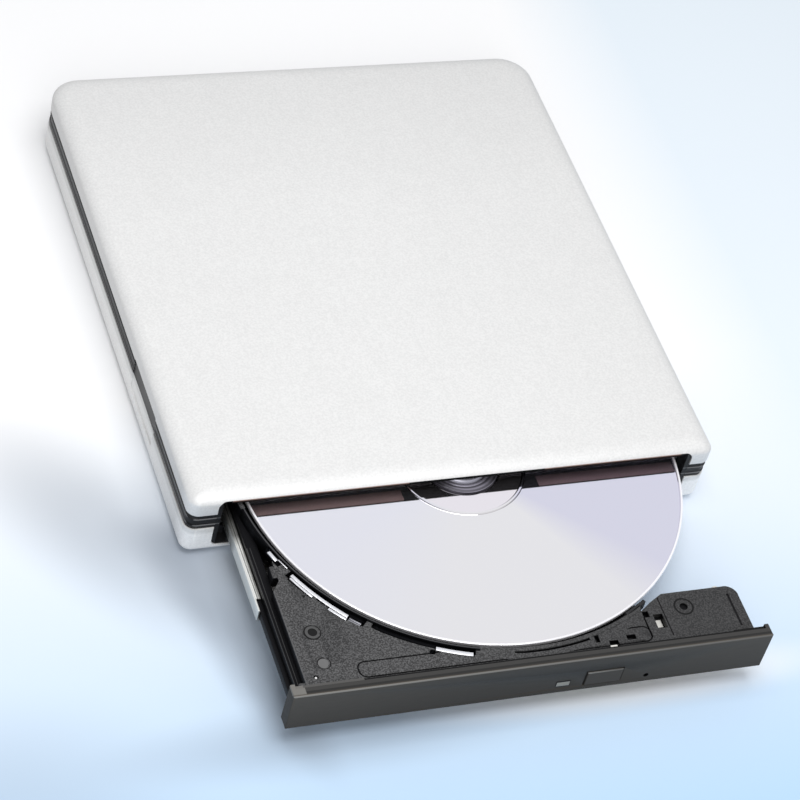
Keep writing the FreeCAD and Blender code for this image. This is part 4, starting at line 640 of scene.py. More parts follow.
@dataclass(frozen=True)
class RailSteel:
    """Drawn rail: bright flange, with painted shade in a line along it and on its outer edge, and a painted
    shadow near the cover's front.
    """

    node: str = "left_rail"
    tone: Tone = Tone(0.90, 0.90, 0.85)
    line: float = 0.25 * MM
    tones: tuple[float, float] = (0.8, 1.12)
    roughness: tuple[float, float] = (0.26, 0.40)
    relief: tuple[float, float] = (0.006 * MM, 0.4)
    # painted shade of the outer edge and of the groove line
    edge_shade: float = 0.85
    groove_shade: float = 0.16
    edge: float = 0.75 * MM
    groove: float = 0.2 * MM
    shadow: tuple[float, float] = (9.0 * MM, 5.5 * MM)

    def build(self, name: str) -> bpy.types.Material:
        """Make the material."""
        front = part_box("top_cover")[0].y
        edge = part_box(self.node)[0].x + self.edge
        ink = Shader(name)
        x, y, _ = ink.axes(ink.place())
        lines = ink.noise(ink.place(scale=(1.0, 0.03, 1.0)), self.line, 3.0, 0.6)
        colour = ink.shades(lines, self.tone, *self.tones)
        # painted shade on the outer edge and in the groove
        colour = ink.blend(x < edge, colour, self.tone.scaled(self.edge_shade))
        groove = ink.band(x, edge, edge + self.groove)
        colour = ink.blend(groove, colour, self.tone.scaled(self.groove_shade))
        # painted shadow of the cover over the rail near its front
        colour = ink.tint(colour, ink.spread(y, front - self.shadow[0], front - self.shadow[1], 1.0, 0.3))
        rough = ink.vary(lines, *self.roughness)
        return ink.surface(colour, rough, 0.95, ink.bump(lines, *self.relief))


@dataclass(frozen=True)
class Rubber:
    """Matt rubber with a faint bloom."""

    tone: Tone
    bloom: float = 2.5 * MM
    pores: float = 0.3 * MM
    tones: tuple[float, float] = (0.8, 1.5)
    roughness: tuple[float, float] = (0.72, 0.86)
    relief: tuple[float, float] = (0.03 * MM, 0.5)

    def build(self, name: str) -> bpy.types.Material:
        """Make the material."""
        ink = Shader(name)
        spot = ink.place()
        bloom = ink.noise(spot, self.bloom, 3.0, 0.6)
        pores = ink.noise(spot, self.pores, 2.0)
        colour = ink.shades(bloom, self.tone, *self.tones)
        return ink.surface(colour, ink.vary(bloom, *self.roughness), 0.0, ink.bump(pores, *self.relief))


@dataclass(frozen=True)
class CircuitBoard:
    """Solder mask over copper tracks, with tinned pads."""

    mask: Tone = Tone(0.012, 0.085, 0.04)
    copper: Tone = Tone(0.03, 0.16, 0.075)
    tin: Tone = Tone(0.62, 0.61, 0.57)
    track_pitch: float = 2.2 * MM
    pad_pitch: float = 2.6 * MM
    relief: tuple[float, float] = (0.03 * MM, 0.7)

    def build(self, name: str) -> bpy.types.Material:
        """Make the material."""
        ink = Shader(name)
        slanted = ink.place(turn=math.radians(45))
        cells = ink.node("ShaderNodeTexVoronoi", {"feature": "F1", "distance": "MANHATTAN"},
                         {"Vector": slanted, "Scale": 1.0 / self.track_pitch})
        tracks = ink.spread(cells, 0.42, 0.46, 0.0, 1.0)
        dots = ink.node("ShaderNodeTexVoronoi", {"feature": "F1"},
                        {"Vector": ink.place(), "Scale": 1.0 / self.pad_pitch, "Randomness": 0.35})
        pads = ink.spread(dots, 0.16, 0.19, 1.0, 0.0)
        colour = ink.blend(pads, ink.blend(tracks, self.mask, self.copper), self.tin)
        rough = ink.spread(pads, 0.0, 1.0, 0.28, 0.36)
        height = tracks * 0.4 + pads * 0.3
        return ink.surface(colour, rough, pads * 0.9, ink.bump(height, *self.relief))


@dataclass(frozen=True)
class Coat:
    """Smooth moulded or painted surface with slight mottling."""

    tone: Tone
    roughness: float = 0.4
    metallic: float = 0.0
    coat: float = 0.0
    shine: float = 0.5
    mottle: float = 1.6 * MM
    tones: tuple[float, float] = (0.9, 1.08)
    relief: tuple[float, float] = (0.01 * MM, 0.4)

    def build(self, name: str) -> bpy.types.Material:
        """Make the material."""
        ink = Shader(name)
        mottle = ink.noise(ink.place(), self.mottle, 3.0, 0.55)
        colour = ink.shades(mottle, self.tone, *self.tones)
        rough = ink.vary(mottle, self.roughness - 0.05, self.roughness + 0.05)
        return ink.surface(colour, rough, self.metallic, ink.bump(mottle, *self.relief),
                           Coat_Weight=self.coat, Specular_IOR_Level=self.shine)


@dataclass(frozen=True)
class Winding:
    """Enamelled copper wire wound in rings."""

    tone: Tone = Tone(0.50, 0.20, 0.07)
    pitch: float = 1.2 * MM
    tones: tuple[float, float] = (0.45, 1.1)
    roughness: float = 0.32
    relief: tuple[float, float] = (0.08 * MM, 0.8)

    def build(self, name: str) -> bpy.types.Material:
        """Make the material."""
        ink = Shader(name)
        turns = ink.node("ShaderNodeTexWave", {"wave_type": "BANDS", "bands_direction": "Z"},
                         {"Vector": ink.place(), "Scale": 1.0 / self.pitch, "Distortion": 1.5})
        colour = ink.shades(turns, self.tone, *self.tones)
        return ink.surface(colour, self.roughness, 0.9, ink.bump(turns, *self.relief))


@dataclass(frozen=True)
class ClearMoulding:
    """Coated glass or clear plastic."""

    tone: Tone
    roughness: float = 0.12
    transmission: float = 0.25
    haze: float = 0.8 * MM
    ior: float = 1.49
    tones: tuple[float, float] = (0.93, 1.04)
    relief: tuple[float, float] = (0.01 * MM, 0.3)

    def build(self, name: str) -> bpy.types.Material:
        """Make the material."""
        ink = Shader(name)
        haze = ink.noise(ink.place(), self.haze, 2.0)
        colour = ink.shades(haze, self.tone, *self.tones)
        rough = ink.vary(haze, self.roughness, self.roughness + 0.06)
        return ink.surface(colour, rough, 0.0, ink.bump(haze, *self.relief),
                           Transmission_Weight=self.transmission, IOR=self.ior)


@dataclass(frozen=True)
class LampWindow:
    """Milky window with a painted dark border of shade where it meets the bezel."""

    node: str = "led_lens"
    tone: Tone = Tone(0.27, 0.255, 0.225)
    # edge: colour of the painted shade round the window
    edge: Tone = Tone(0.012, 0.012, 0.012)
    half_height: float = 0.75 * MM
    half_width: float = 1.75 * MM
    haze: float = 0.7 * MM
    tones: tuple[float, float] = (0.9, 1.08)
    relief: tuple[float, float] = (0.01 * MM, 0.3)
    shine: float = 0.15

    def build(self, name: str) -> bpy.types.Material:
        """Make the material."""
        ink = Shader(name)
        x, _, z = ink.axes(ink.place(centre=middle_of(self.node)))
        inside = ink.band(z, -self.half_height, self.half_height)
        inside = inside * ink.band(x, -self.half_width, self.half_width)
        haze = ink.noise(ink.place(), self.haze, 2.0)
        # painted shade round the window's edges
        colour = ink.blend(inside, self.edge, ink.shades(haze, self.tone, *self.tones))
        bump = ink.bump(haze, *self.relief)
        return ink.surface(colour, 0.5 + haze * 0.1, 0.0, bump, Specular_IOR_Level=self.shine)


@dataclass(frozen=True)
class HubMetal:
    """Turned hub with fine rings round its axis."""

    node: str = "turntable"
    tone: Tone = Tone(0.34, 0.335, 0.38)
    ring: float = 1.1 * MM
    tones: tuple[float, float] = (0.45, 1.5)
    roughness: tuple[float, float] = (0.28, 0.36)
    relief: tuple[float, float] = (0.02 * MM, 0.5)

    def build(self, name: str) -> bpy.types.Material:
        """Make the material."""
        ink = Shader(name)
        x, y, _ = ink.axes(ink.place(centre=middle_of(self.node)))
        rings = ink.turning(ink.radius(x, y), self.ring)
        colour = ink.shades(ink.spread(rings, 0.35, 0.65, 0.0, 1.0), self.tone, *self.tones)
        return ink.surface(colour, ink.vary(rings, *self.roughness), 0.6, ink.bump(rings, *self.relief))


@dataclass(frozen=True)
class MirrorDisc:
    """Mirror layer under clear plastic, with sectors of painted sheen, its clear rim painted pale as a
    highlight, and painted shade at its stacking ring, clamp plate and step.
    """

    node: str = "dvd_disc"
    mirror: Tone = Tone(0.80, 0.795, 0.835)
    # warm and cool: tones of the painted sheen
    warm: Tone = Tone(0.825, 0.81, 0.805)
    cool: Tone = Tone(0.70, 0.69, 0.78)
    # rim: pale, a painted highlight for light in the clear edge
    rim: Tone = Tone(0.93, 0.92, 0.95)
    hub: Tone = Tone(0.84, 0.80, 0.82)
    # dark: tone of the painted shade lines
    dark: Tone = Tone(0.075, 0.07, 0.085)
    clamp: Tone = Tone(0.21, 0.20, 0.24)
    cool_from: tuple[float, float] = (-58.0, -42.0)
    warm_from: tuple[float, float] = (-150.0, -110.0)
    rim_from: float = 59.35 * MM
    hub_to: float = 16.75 * MM
    rings: tuple[tuple[float, float], ...] = ((16.6 * MM, 16.95 * MM), (17.45 * MM, 17.65 * MM))
    clamp_dark: float = 8.8 * MM
    clamp_to: float = 10.5 * MM
    step_to: float = 10.85 * MM
    track: float = 0.6 * MM
    clamp_tones: tuple[float, float] = (0.5, 1.7)
    roughness: tuple[float, float] = (0.05, 0.08)
    relief: tuple[float, float] = (0.0004 * MM, 0.3)
    metallic: float = 0.985
    clear: float = 0.66

    def build(self, name: str) -> bpy.types.Material:
        """Make the material."""
        ink = Shader(name)
        x, y, _ = ink.axes(ink.place(centre=middle_of(self.node)))
        radius = ink.radius(x, y)
        edge = radius > self.rim_from
        clamp = radius < self.clamp_to
        # painted shade: strong at the disc's sides, faint in front
        painted_side_shade = ink.spread(ink.math("ABSOLUTE", x) / radius, 0.3, 0.75, 0.15, 1.0)
        # painted sheen of the mirror, with the rim painted pale as a highlight
        colour = ink.blend(edge, self.painted_sheen(ink, x, y), self.rim)
        colour = ink.blend(radius > self.hub_to, self.hub, colour)
        # painted shade lines at the stacking ring
        for inner, outer in self.rings:
            colour = ink.blend(ink.band(radius, inner, outer) * painted_side_shade, colour, self.dark)
        tracks = ink.turning(radius, self.track)
        plate = ink.shades(ink.spread(tracks, 0.38, 0.62, 0.0, 1.0), self.clamp, *self.clamp_tones)
        # painted shade on the clamp plate at the sides
        plate = ink.tint(plate, 1.0 - (radius > self.clamp_dark) * painted_side_shade * 0.45)
        colour = ink.blend(clamp, colour, plate)
        # painted shade in the step round the clamp
        colour = ink.blend(ink.band(radius, self.clamp_to, self.step_to), colour, self.dark.scaled(0.4))
        rough = ink.vary(tracks, *self.roughness) + edge * 0.12 + (radius < self.step_to) * 0.3
        metallic = self.metallic - self.clear * edge - self.clear * clamp
        return ink.surface(colour, rough, metallic, ink.bump(tracks, *self.relief),
                           Coat_Weight=0.12, Coat_Roughness=0.04)

    def painted_sheen(self, ink: Shader, x: Sock, y: Sock) -> Sock:
        """Painted sheen of the mirror by angle: neutral at the left, warm in front and cool at the right.

        Args:
            ink: The material's node tree.
            x: Where it is in x, from the disc's middle.
            y: Where it is in y, from the disc's middle.

        Returns:
            The colour.
        """
        angle = ink.math("ARCTAN2", y, x)
        cool = ink.spread(angle, *(math.radians(degrees) for degrees in self.cool_from), 0.0, 1.0)
        warm = ink.spread(angle, *(math.radians(degrees) for degrees in self.warm_from), 0.0, 1.0)
        return ink.blend(warm, self.mirror, ink.blend(cool, self.warm, self.cool))


FINISHES: dict[Slot, Finish] = {
    Slot.SHELL: BlastedAlloy(),
    Slot.FRAME: BandPlastic(),
    Slot.TRAY: DeckPlastic(),
    Slot.BEZEL: SatinFront("bezel"),
    Slot.FOOT: Rubber(Tone(0.028, 0.028, 0.030)),
    Slot.SHEET: RolledSteel(Tone(0.56, 0.55, 0.53), 0.38),
    Slot.BRIGHT: RolledSteel(Tone(0.76, 0.76, 0.77), 0.30),
    Slot.SCREW: RolledSteel(Tone(0.30, 0.30, 0.32), 0.34),
    Slot.BOARD: CircuitBoard(),
    Slot.CHIP: Coat(Tone(0.02, 0.02, 0.022), 0.5),
    Slot.SOCKET: Coat(Tone(0.012, 0.012, 0.013), 0.5, shine=0.25),
    Slot.WHITE: Coat(Tone(0.75, 0.74, 0.70), 0.4),
    Slot.CABLE: Coat(Tone(0.70, 0.71, 0.72), 0.25, coat=0.3),
    Slot.WINDOW: LampWindow(),
    Slot.LENS: ClearMoulding(Tone(0.55, 0.62, 0.85), 0.03, 0.6),
    Slot.DISC: MirrorDisc(),
    Slot.SOFT: Rubber(Tone(0.09, 0.09, 0.09)),
    Slot.MAGNET: Coat(Tone(0.42, 0.42, 0.43), 0.3, 0.9),
    Slot.CASTING: Coat(Tone(0.52, 0.52, 0.53), 0.45, 0.9),
    Slot.COIL: Winding(),
}


class Wardrobe:
    """Builds each finish once and hands it out by slot."""

    def __init__(self) -> None:
        self.made: dict[Slot, bpy.types.Material] = {}

    def of(self, slot: Slot) -> bpy.types.Material:
        """The material of a slot."""
        if slot not in self.made:
            self.made[slot] = FINISHES[slot].build(slot.value)
        return self.made[slot]

    def dress(self, piece: bpy.types.Object, slot: Slot) -> None:
        """Put a slot's material on a piece."""
        piece.data.materials.clear()
        piece.data.materials.append(self.of(slot))


def shade(mesh: bpy.types.Mesh, angle: float) -> None:
    """Shade a mesh smooth, and keep its edges above an angle sharp."""
    mesh.polygons.foreach_set("use_smooth", [True] * len(mesh.polygons))
    mesh.set_sharp_from_angle(angle=angle)


@dataclass(frozen=True)
class Arc:
    """A bar bent round the disc's axis: radii in millimetres and angles in degrees."""

    inner: float
    outer: float
    start: float
    end: float
    drift: float = 0.0
    drop: float = 0.04
    step: float = 1.5


@dataclass(frozen=True)
class Plate:
    """A rectangle in the deck: millimetres from the tray's front left corner, and depths below the deck."""

    left: float
    right: float
    front: float
    back: float
    under: float
    over: float = 0.0

    def corners(self) -> tuple[tuple[float, float, float], tuple[float, float, float]]:
        """Its lowest and its highest corner in the row frame."""
        low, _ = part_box("tray")
        level = deck_level()
        return ((low.x + self.left * MM, low.y + self.front * MM, level - self.under * MM),
                (low.x + self.right * MM, low.y + self.back * MM, level - self.over * MM))


class Form:
    """A mesh under construction, in metres in the row frame."""

    def __init__(self) -> None:
        self.bm = bmesh.new()

    def panel(self, low: Sequence[float], high: Sequence[float], level: float, corners: tuple[float, float],
              steps: int = 10, keep: bool = False) -> list[bmesh.types.BMEdge]:
        """Lay one rounded rectangle at a height.

        Args:
            low: Lowest x and y.
            high: Highest x and y.
            level: Height of the panel.
            corners: Radius of the front pair and of the back pair of corners.
            steps: Segments of each corner.
            keep: Keep the panel's face as well as its rim.

        Returns:
            The edges of its rim.
        """
        size = (high[0] - low[0], high[1] - low[1])
        middle = ((high[0] + low[0]) / 2, (high[1] + low[1]) / 2, level)
        spot = Matrix.Translation(middle) @ Matrix.Diagonal((size[0], size[1], 1, 1))
        before = set(self.bm.faces)
        verts = bmesh.ops.create_grid(self.bm, x_segments=1, y_segments=1, size=0.5, matrix=spot)["verts"]
        pairs = ([v for v in verts if v.co.y < middle[1]], [v for v in verts if v.co.y > middle[1]])
        for pair, radius in zip(pairs, corners):
            bmesh.ops.bevel(self.bm, geom=pair, offset=radius, offset_type="OFFSET", segments=steps,
                            profile=0.5, affect="VERTICES", clamp_overlap=False, material=-1)
        face = next(f for f in self.bm.faces if f not in before)
        edges = list(face.edges)
        if not keep:
            bmesh.ops.delete(self.bm, geom=[face], context="FACES_ONLY")
        return edges

    def bridge(self, first: list[bmesh.types.BMEdge], second: list[bmesh.types.BMEdge]) -> None:
        """Join two rims with a strip of faces."""
        bmesh.ops.bridge_loops(self.bm, edges=first + second)

    def block(self, low: Sequence[float], high: Sequence[float]) -> None:
        """A rectangular block."""
        size = [high[axis] - low[axis] for axis in range(3)]
        middle = [(high[axis] + low[axis]) / 2 for axis in range(3)]
        spot = Matrix.Translation(middle) @ Matrix.Diagonal((*size, 1))
        bmesh.ops.create_cube(self.bm, size=1.0, matrix=spot)

    def turned(self, profile: Sequence[tuple[float, float]], centre: Sequence[float], steps: int = 96,
               closed: bool = True) -> None:
        """Spin a profile about an upright axis.

        Args:
            profile: Radius and height of each corner.
            centre: A point on the axis.
            steps: Segments of the full turn.
            closed: Join the last corner to the first.
        """
        verts = [self.bm.verts.new((centre[0] + radius, centre[1], height)) for radius, height in profile]
        pairs = list(zip(verts, verts[1:])) + ([(verts[-1], verts[0])] if closed else [])
        edges = [self.bm.edges.new(pair) for pair in pairs]
        bmesh.ops.spin(self.bm, geom=verts + edges, cent=(centre[0], centre[1], 0), axis=(0, 0, 1),
                       angle=math.tau, steps=steps, use_merge=True, use_duplicate=False)

    def merged(self, mesh: bpy.types.Mesh) -> None:
        """Take in a mesh with its doubles merged and its flat faces joined."""
        self.bm.from_mesh(mesh)
        bmesh.ops.remove_doubles(self.bm, verts=self.bm.verts, dist=DOUBLE)
        bmesh.ops.dissolve_limit(self.bm, angle_limit=math.radians(0.8), verts=self.bm.verts,
                                 edges=self.bm.edges)

    def wedge(self, corner: Sequence[float], first: Sequence[float], second: Sequence[float], low: float,
              high: float) -> None:
        """An upright block on a slanted base.

        Args:
            corner: A corner of its base, in x and y.
            first: The base's first side.
            second: The base's second side.
            low: Height of its base.
            high: Height of its top.
        """
        middle = [corner[axis] + (first[axis] + second[axis]) / 2 for axis in range(2)]
        spot = Matrix(((first[0], second[0], 0, middle[0]), (first[1], second[1], 0, middle[1]),
                       (0, 0, high - low, (high + low) / 2), (0, 0, 0, 1)))
        bmesh.ops.create_cube(self.bm, size=1.0, matrix=spot)
        bmesh.ops.recalc_face_normals(self.bm, faces=self.bm.faces)

    def arc(self, bar: Arc, low: float, high: float, centre: Sequence[float]) -> None:
        """A bar bent round an upright axis.

        Args:
            bar: Its radii, angles and drift.
            low: Height of its underside.
            high: Height of its top.
            centre: A point on the axis.
        """
        inner = bar.inner * MM
        outer = bar.outer * MM
        section = (Matrix.Rotation(math.radians(90), 4, "X")
                   @ Matrix.Diagonal((outer - inner, high - low, 1, 1)))
        spot = (Matrix.Translation((centre[0], centre[1], 0))
                @ Matrix.Rotation(math.radians(bar.start), 4, "Z")
                @ Matrix.Translation(((inner + outer) / 2, 0, (low + high) / 2)) @ section)
        verts = bmesh.ops.create_grid(self.bm, x_segments=1, y_segments=1, size=0.5, matrix=spot)["verts"]
        end_face = list({face for vert in verts for face in vert.link_faces})
        steps = max(2, round((bar.end - bar.start) / bar.step))
        halfway = Matrix.Rotation(math.radians((bar.start + bar.end) / 2), 3, "Z")
        outward = halfway @ Vector((bar.drift * MM / steps, 0, 0))
        bmesh.ops.spin(self.bm, geom=end_face, cent=(centre[0], centre[1], 0), axis=(0, 0, 1), dvec=outward,
                       angle=math.radians(bar.end - bar.start), steps=steps)
        bmesh.ops.recalc_face_normals(self.bm, faces=self.bm.faces)

    def ease(self, radius: float, least: float = 0.0, segments: int = 2,
             wanted: Iterable[bmesh.types.BMEdge] | None = None) -> None:
        """Bevel the long sharp edges.

        Args:
            radius: Width of the bevel.
            least: Shortest edge that is bevelled.
            segments: Segments of the bevel.
            wanted: The edges to choose from, or all.
        """
        edges = [edge for edge in (wanted or self.bm.edges) if len(edge.link_faces) == 2]
        edges = [edge for edge in edges if edge.calc_length() > least and edge.calc_face_angle(0.0) > SHARP]
        bmesh.ops.bevel(self.bm, geom=edges, offset=radius, offset_type="OFFSET", segments=segments,
                        profile=0.5, affect="EDGES", clamp_overlap=False, material=-1)

    def tidy(self) -> None:
        """Merge doubles and turn faces outwards."""
        bmesh.ops.remove_doubles(self.bm, verts=self.bm.verts, dist=DOUBLE)
        bmesh.ops.recalc_face_normals(self.bm, faces=self.bm.faces)

    def made(self, name: str, smooth: float = SMOOTH) -> bpy.types.Object:
        """Turn the form into an object.

        Args:
            name: Name of the object.
            smooth: Angle above which an edge stays sharp.

        Returns:
            The object, linked to the scene.
        """
        mesh = bpy.data.meshes.new(name)
        self.bm.to_mesh(mesh)
        self.bm.free()
        shade(mesh, smooth)
        piece = bpy.data.objects.new(name, mesh)
        bpy.context.scene.collection.objects.link(piece)
        return piece


def carve(piece: bpy.types.Object, cutters: Sequence[bpy.types.Object]) -> None:
    """Cut tools out of a piece and remove them.

    Args:
        piece: The piece.
        cutters: The tools.
    """
    for cutter in cutters:
        step = piece.modifiers.new("carve", "BOOLEAN")
        step.operation = "DIFFERENCE"
        step.solver = "EXACT"
        step.object = cutter
    bpy.context.view_layer.update()
    graph = bpy.context.evaluated_depsgraph_get()
    mesh = bpy.data.meshes.new_from_object(piece.evaluated_get(graph))
    piece.modifiers.clear()
    piece.data = mesh
    shade(mesh, SMOOTH)
    for cutter in cutters:
        bpy.data.objects.remove(cutter)


@dataclass
class Assembly:
    """What every sub-assembly shares: its finishes and how a piece is put in place."""

    wardrobe: Wardrobe

    def fit(self, piece: bpy.types.Object, body: Body, slot: Slot, nodes: Sequence[str] = (),
            own: bpy.types.Material | None = None) -> bpy.types.Object:
        """Dress a piece, let it ride and hide the CAD nodes it stands for.

        Args:
            piece: The piece.
            body: Body it rides on.
            slot: Its material slot.
            nodes: CAD nodes it stands for.
            own: A finish of its own, instead of its slot's.

        Returns:
            The piece.
        """
        self.wardrobe.dress(piece, slot)
        if own is not None:
            piece.data.materials[0] = own
        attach(piece, body.value)
        if nodes:
            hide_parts(*nodes)
        return piece

    def eased(self, node: str, name: str, body: Body, slot: Slot, radius: float, least: float,
              cutters: Sequence[bpy.types.Object] = (),
              own: bpy.types.Material | None = None) -> bpy.types.Object:
        """A merged copy of a CAD node with its long edges eased.

        Args:
            node: The CAD node it stands for.
            name: Name of the new piece.
            body: Body it rides on.
            slot: Its material slot.
            radius: Width of the easing.
            least: Shortest edge that is eased.
            cutters: Tools cut out of it; only edges they leave alone are eased.
            own: A finish of its own, instead of its slot's.

        Returns:
            The piece.
        """
        form = Form()
        form.merged(frame["nodes"][node].data)
        wanted = None
        if cutters:
            known = {self.mark(vert) for vert in form.bm.verts}
            rough = form.made(name + "_rough")
            carve(rough, cutters)
            form = Form()
            form.bm.from_mesh(rough.data)
            form.tidy()
            bpy.data.objects.remove(rough)
            wanted = [edge for edge in form.bm.edges if all(self.mark(vert) in known for vert in edge.verts)]
        form.ease(radius, least, wanted=wanted)
        return self.fit(form.made(name), body, slot, [node], own)

    def mark(self, vert: bmesh.types.BMVert) -> tuple[int, ...]:
        """A vertex's place to five thousandths of a millimetre, to know it again."""
        return tuple(round(value / (0.005 * MM)) for value in vert.co)


@dataclass
class CaseShells(Assembly):
    """Pillowed top and bottom covers, the black band between them, and the feet."""

    front_corner: float = 3.0 * MM
    back_corner: float = 9.0 * MM
    least_corner: float = 0.8 * MM
    wall: float = 1.6 * MM
    roof: float = 1.3 * MM
    roll_in: float = 5.5 * MM
    roll_up: float = 2.2 * MM
    roll_steps: int = 14
    seam_ease: float = 0.22 * MM
    lip_ease: float = 0.25 * MM
    lip_turn: float = math.radians(50)
    opening_side: float = 1.7 * MM
    opening_under: float = 3.2 * MM
    opening_corner: float = 1.9 * MM
    opening_depth: float = 7.0 * MM
    notch_from: float = 33.0 * MM
    notch_length: float = 21.5 * MM
    notch_depth: float = 0.25 * MM
    notch_rise: float = 0.6 * MM
    foot_radius: float = 5.0
    foot_face: tuple[tuple[float, float], ...] = (
        (0, 0), (3.2, 0), (3.4, 0.12), (3.8, 0.12), (4.0, 0), (4.6, 0.02), (4.9, 0.16), (5.0, 0.4))

    def skin(self, form: Form, inset: float, seam: float, face: float) -> list[bmesh.types.BMEdge]:
        """Loft one skin from the seam over the roll and close it.

        Args:
            form: The mesh to add to.
            inset: How far the skin is drawn in from the outer one.
            seam: Height of its open rim.
            face: Height of its flat face.

        Returns:
            The rim's edges.
        """
        low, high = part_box("top_cover")
        turn = face - self.roll_up
        levels = [(0.0, seam), (0.0, turn)]
        for step in range(1, self.roll_steps + 1):
            angle = math.pi / 2 * step / self.roll_steps
            levels.append((self.roll_in * (1 - math.cos(angle)), turn + self.roll_up * math.sin(angle)))
        rims = []
        for index, (draw, level) in enumerate(levels):
            total = inset + draw
            corners = (max(self.front_corner - total, self.least_corner),
                       max(self.back_corner - total, self.least_corner))
            rims.append(form.panel((low.x + total, low.y + total), (high.x - total, high.y - total), level,
                                   corners, keep=index == len(levels) - 1))
        for first, second in zip(rims, rims[1:]):
            form.bridge(first, second)
        return rims[0]

    def opening_tool(self) -> bpy.types.Object:
        """Rounded bar that cuts the front opening."""
        low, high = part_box("bezel")
        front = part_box("top_cover")[0].y
        form = Form()
        bottom = low.z - self.opening_under
        top = high.z + OPENING_OVER
        form.panel((low.x - self.opening_side, -top), (high.x + self.opening_side, -bottom), 0.0,
                   (self.opening_corner, self.opening_corner), keep=True)
        faces = bmesh.ops.extrude_face_region(form.bm, geom=list(form.bm.faces))["geom"]
        moved = [item for item in faces if isinstance(item, bmesh.types.BMVert)]
        bmesh.ops.translate(form.bm, vec=(0, 0, self.opening_depth + PAST), verts=moved)
        bmesh.ops.rotate(form.bm, cent=(0, 0, 0), matrix=Matrix.Rotation(math.radians(-90), 3, "X"),
                         verts=form.bm.verts)
        bmesh.ops.translate(form.bm, vec=(0, front - PAST, 0), verts=form.bm.verts)
        form.tidy()
        return form.made("opening_tool")

    def notch_tool(self) -> bpy.types.Object:
        """Block that cuts the shallow step in the left side."""
        low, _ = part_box("top_cover")
        form = Form()
        start = low.y + self.notch_from
        form.block((low.x - PAST, start, low.z - PAST),
                   (low.x + self.notch_depth, start + self.notch_length, low.z + self.notch_rise))
        return form.made("notch_tool")

    def top_shell(self) -> bpy.types.Object:
        """The pillowed top cover."""
        low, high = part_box("top_cover")
        form = Form()
        inner = self.skin(form, self.wall, low.z, high.z - self.roof)
        bmesh.ops.reverse_faces(form.bm, faces=list(form.bm.faces))
        outer = self.skin(form, 0.0, low.z, high.z)
        form.bridge(outer, inner)
        form.tidy()
        rim = [edge for edge in form.bm.edges if all(abs(v.co.z - low.z) < DOUBLE for v in edge.verts)]
        form.ease(self.seam_ease, segments=3, wanted=rim)
        piece = form.made("top_shell")
        carve(piece, [self.opening_tool(), self.notch_tool()])
        soft = piece.modifiers.new("ease", "BEVEL")
        soft.width = self.lip_ease
        soft.segments = 2
        soft.limit_method = "ANGLE"
        soft.angle_limit = self.lip_turn
        return self.fit(piece, Body.CASE, Slot.SHELL, ["top_cover"])

    def feet(self) -> bpy.types.Object:
        """Four domed rubber feet with a groove round each."""
        low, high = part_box("rubber_feet")
        inset = self.foot_radius * MM
        outline = [(radius * MM, low.z + rise * MM) for radius, rise in self.foot_face]
        outline += [(inset, high.z), (0.0, high.z)]
        form = Form()
        for x in (low.x + inset, high.x - inset):
            for y in (low.y + inset, high.y - inset):
                form.turned(outline, (x, y), 64, closed=False)
        form.tidy()
        return self.fit(form.made("foot_pads"), Body.CASE, Slot.FOOT, ["rubber_feet"])

    def build(self) -> list[bpy.types.Object]:
        """Make every piece of the case."""
        return [
            self.top_shell(),
            self.eased("bottom_cover", "bottom_shell", Body.CASE, Slot.SHELL, radius=0.18 * MM,
                       least=2.0 * MM),
            self.eased("middle_frame", "band_and_surround", Body.CASE, Slot.FRAME, radius=0.08 * MM,
                       least=1.5 * MM),
            self.feet(),
        ]


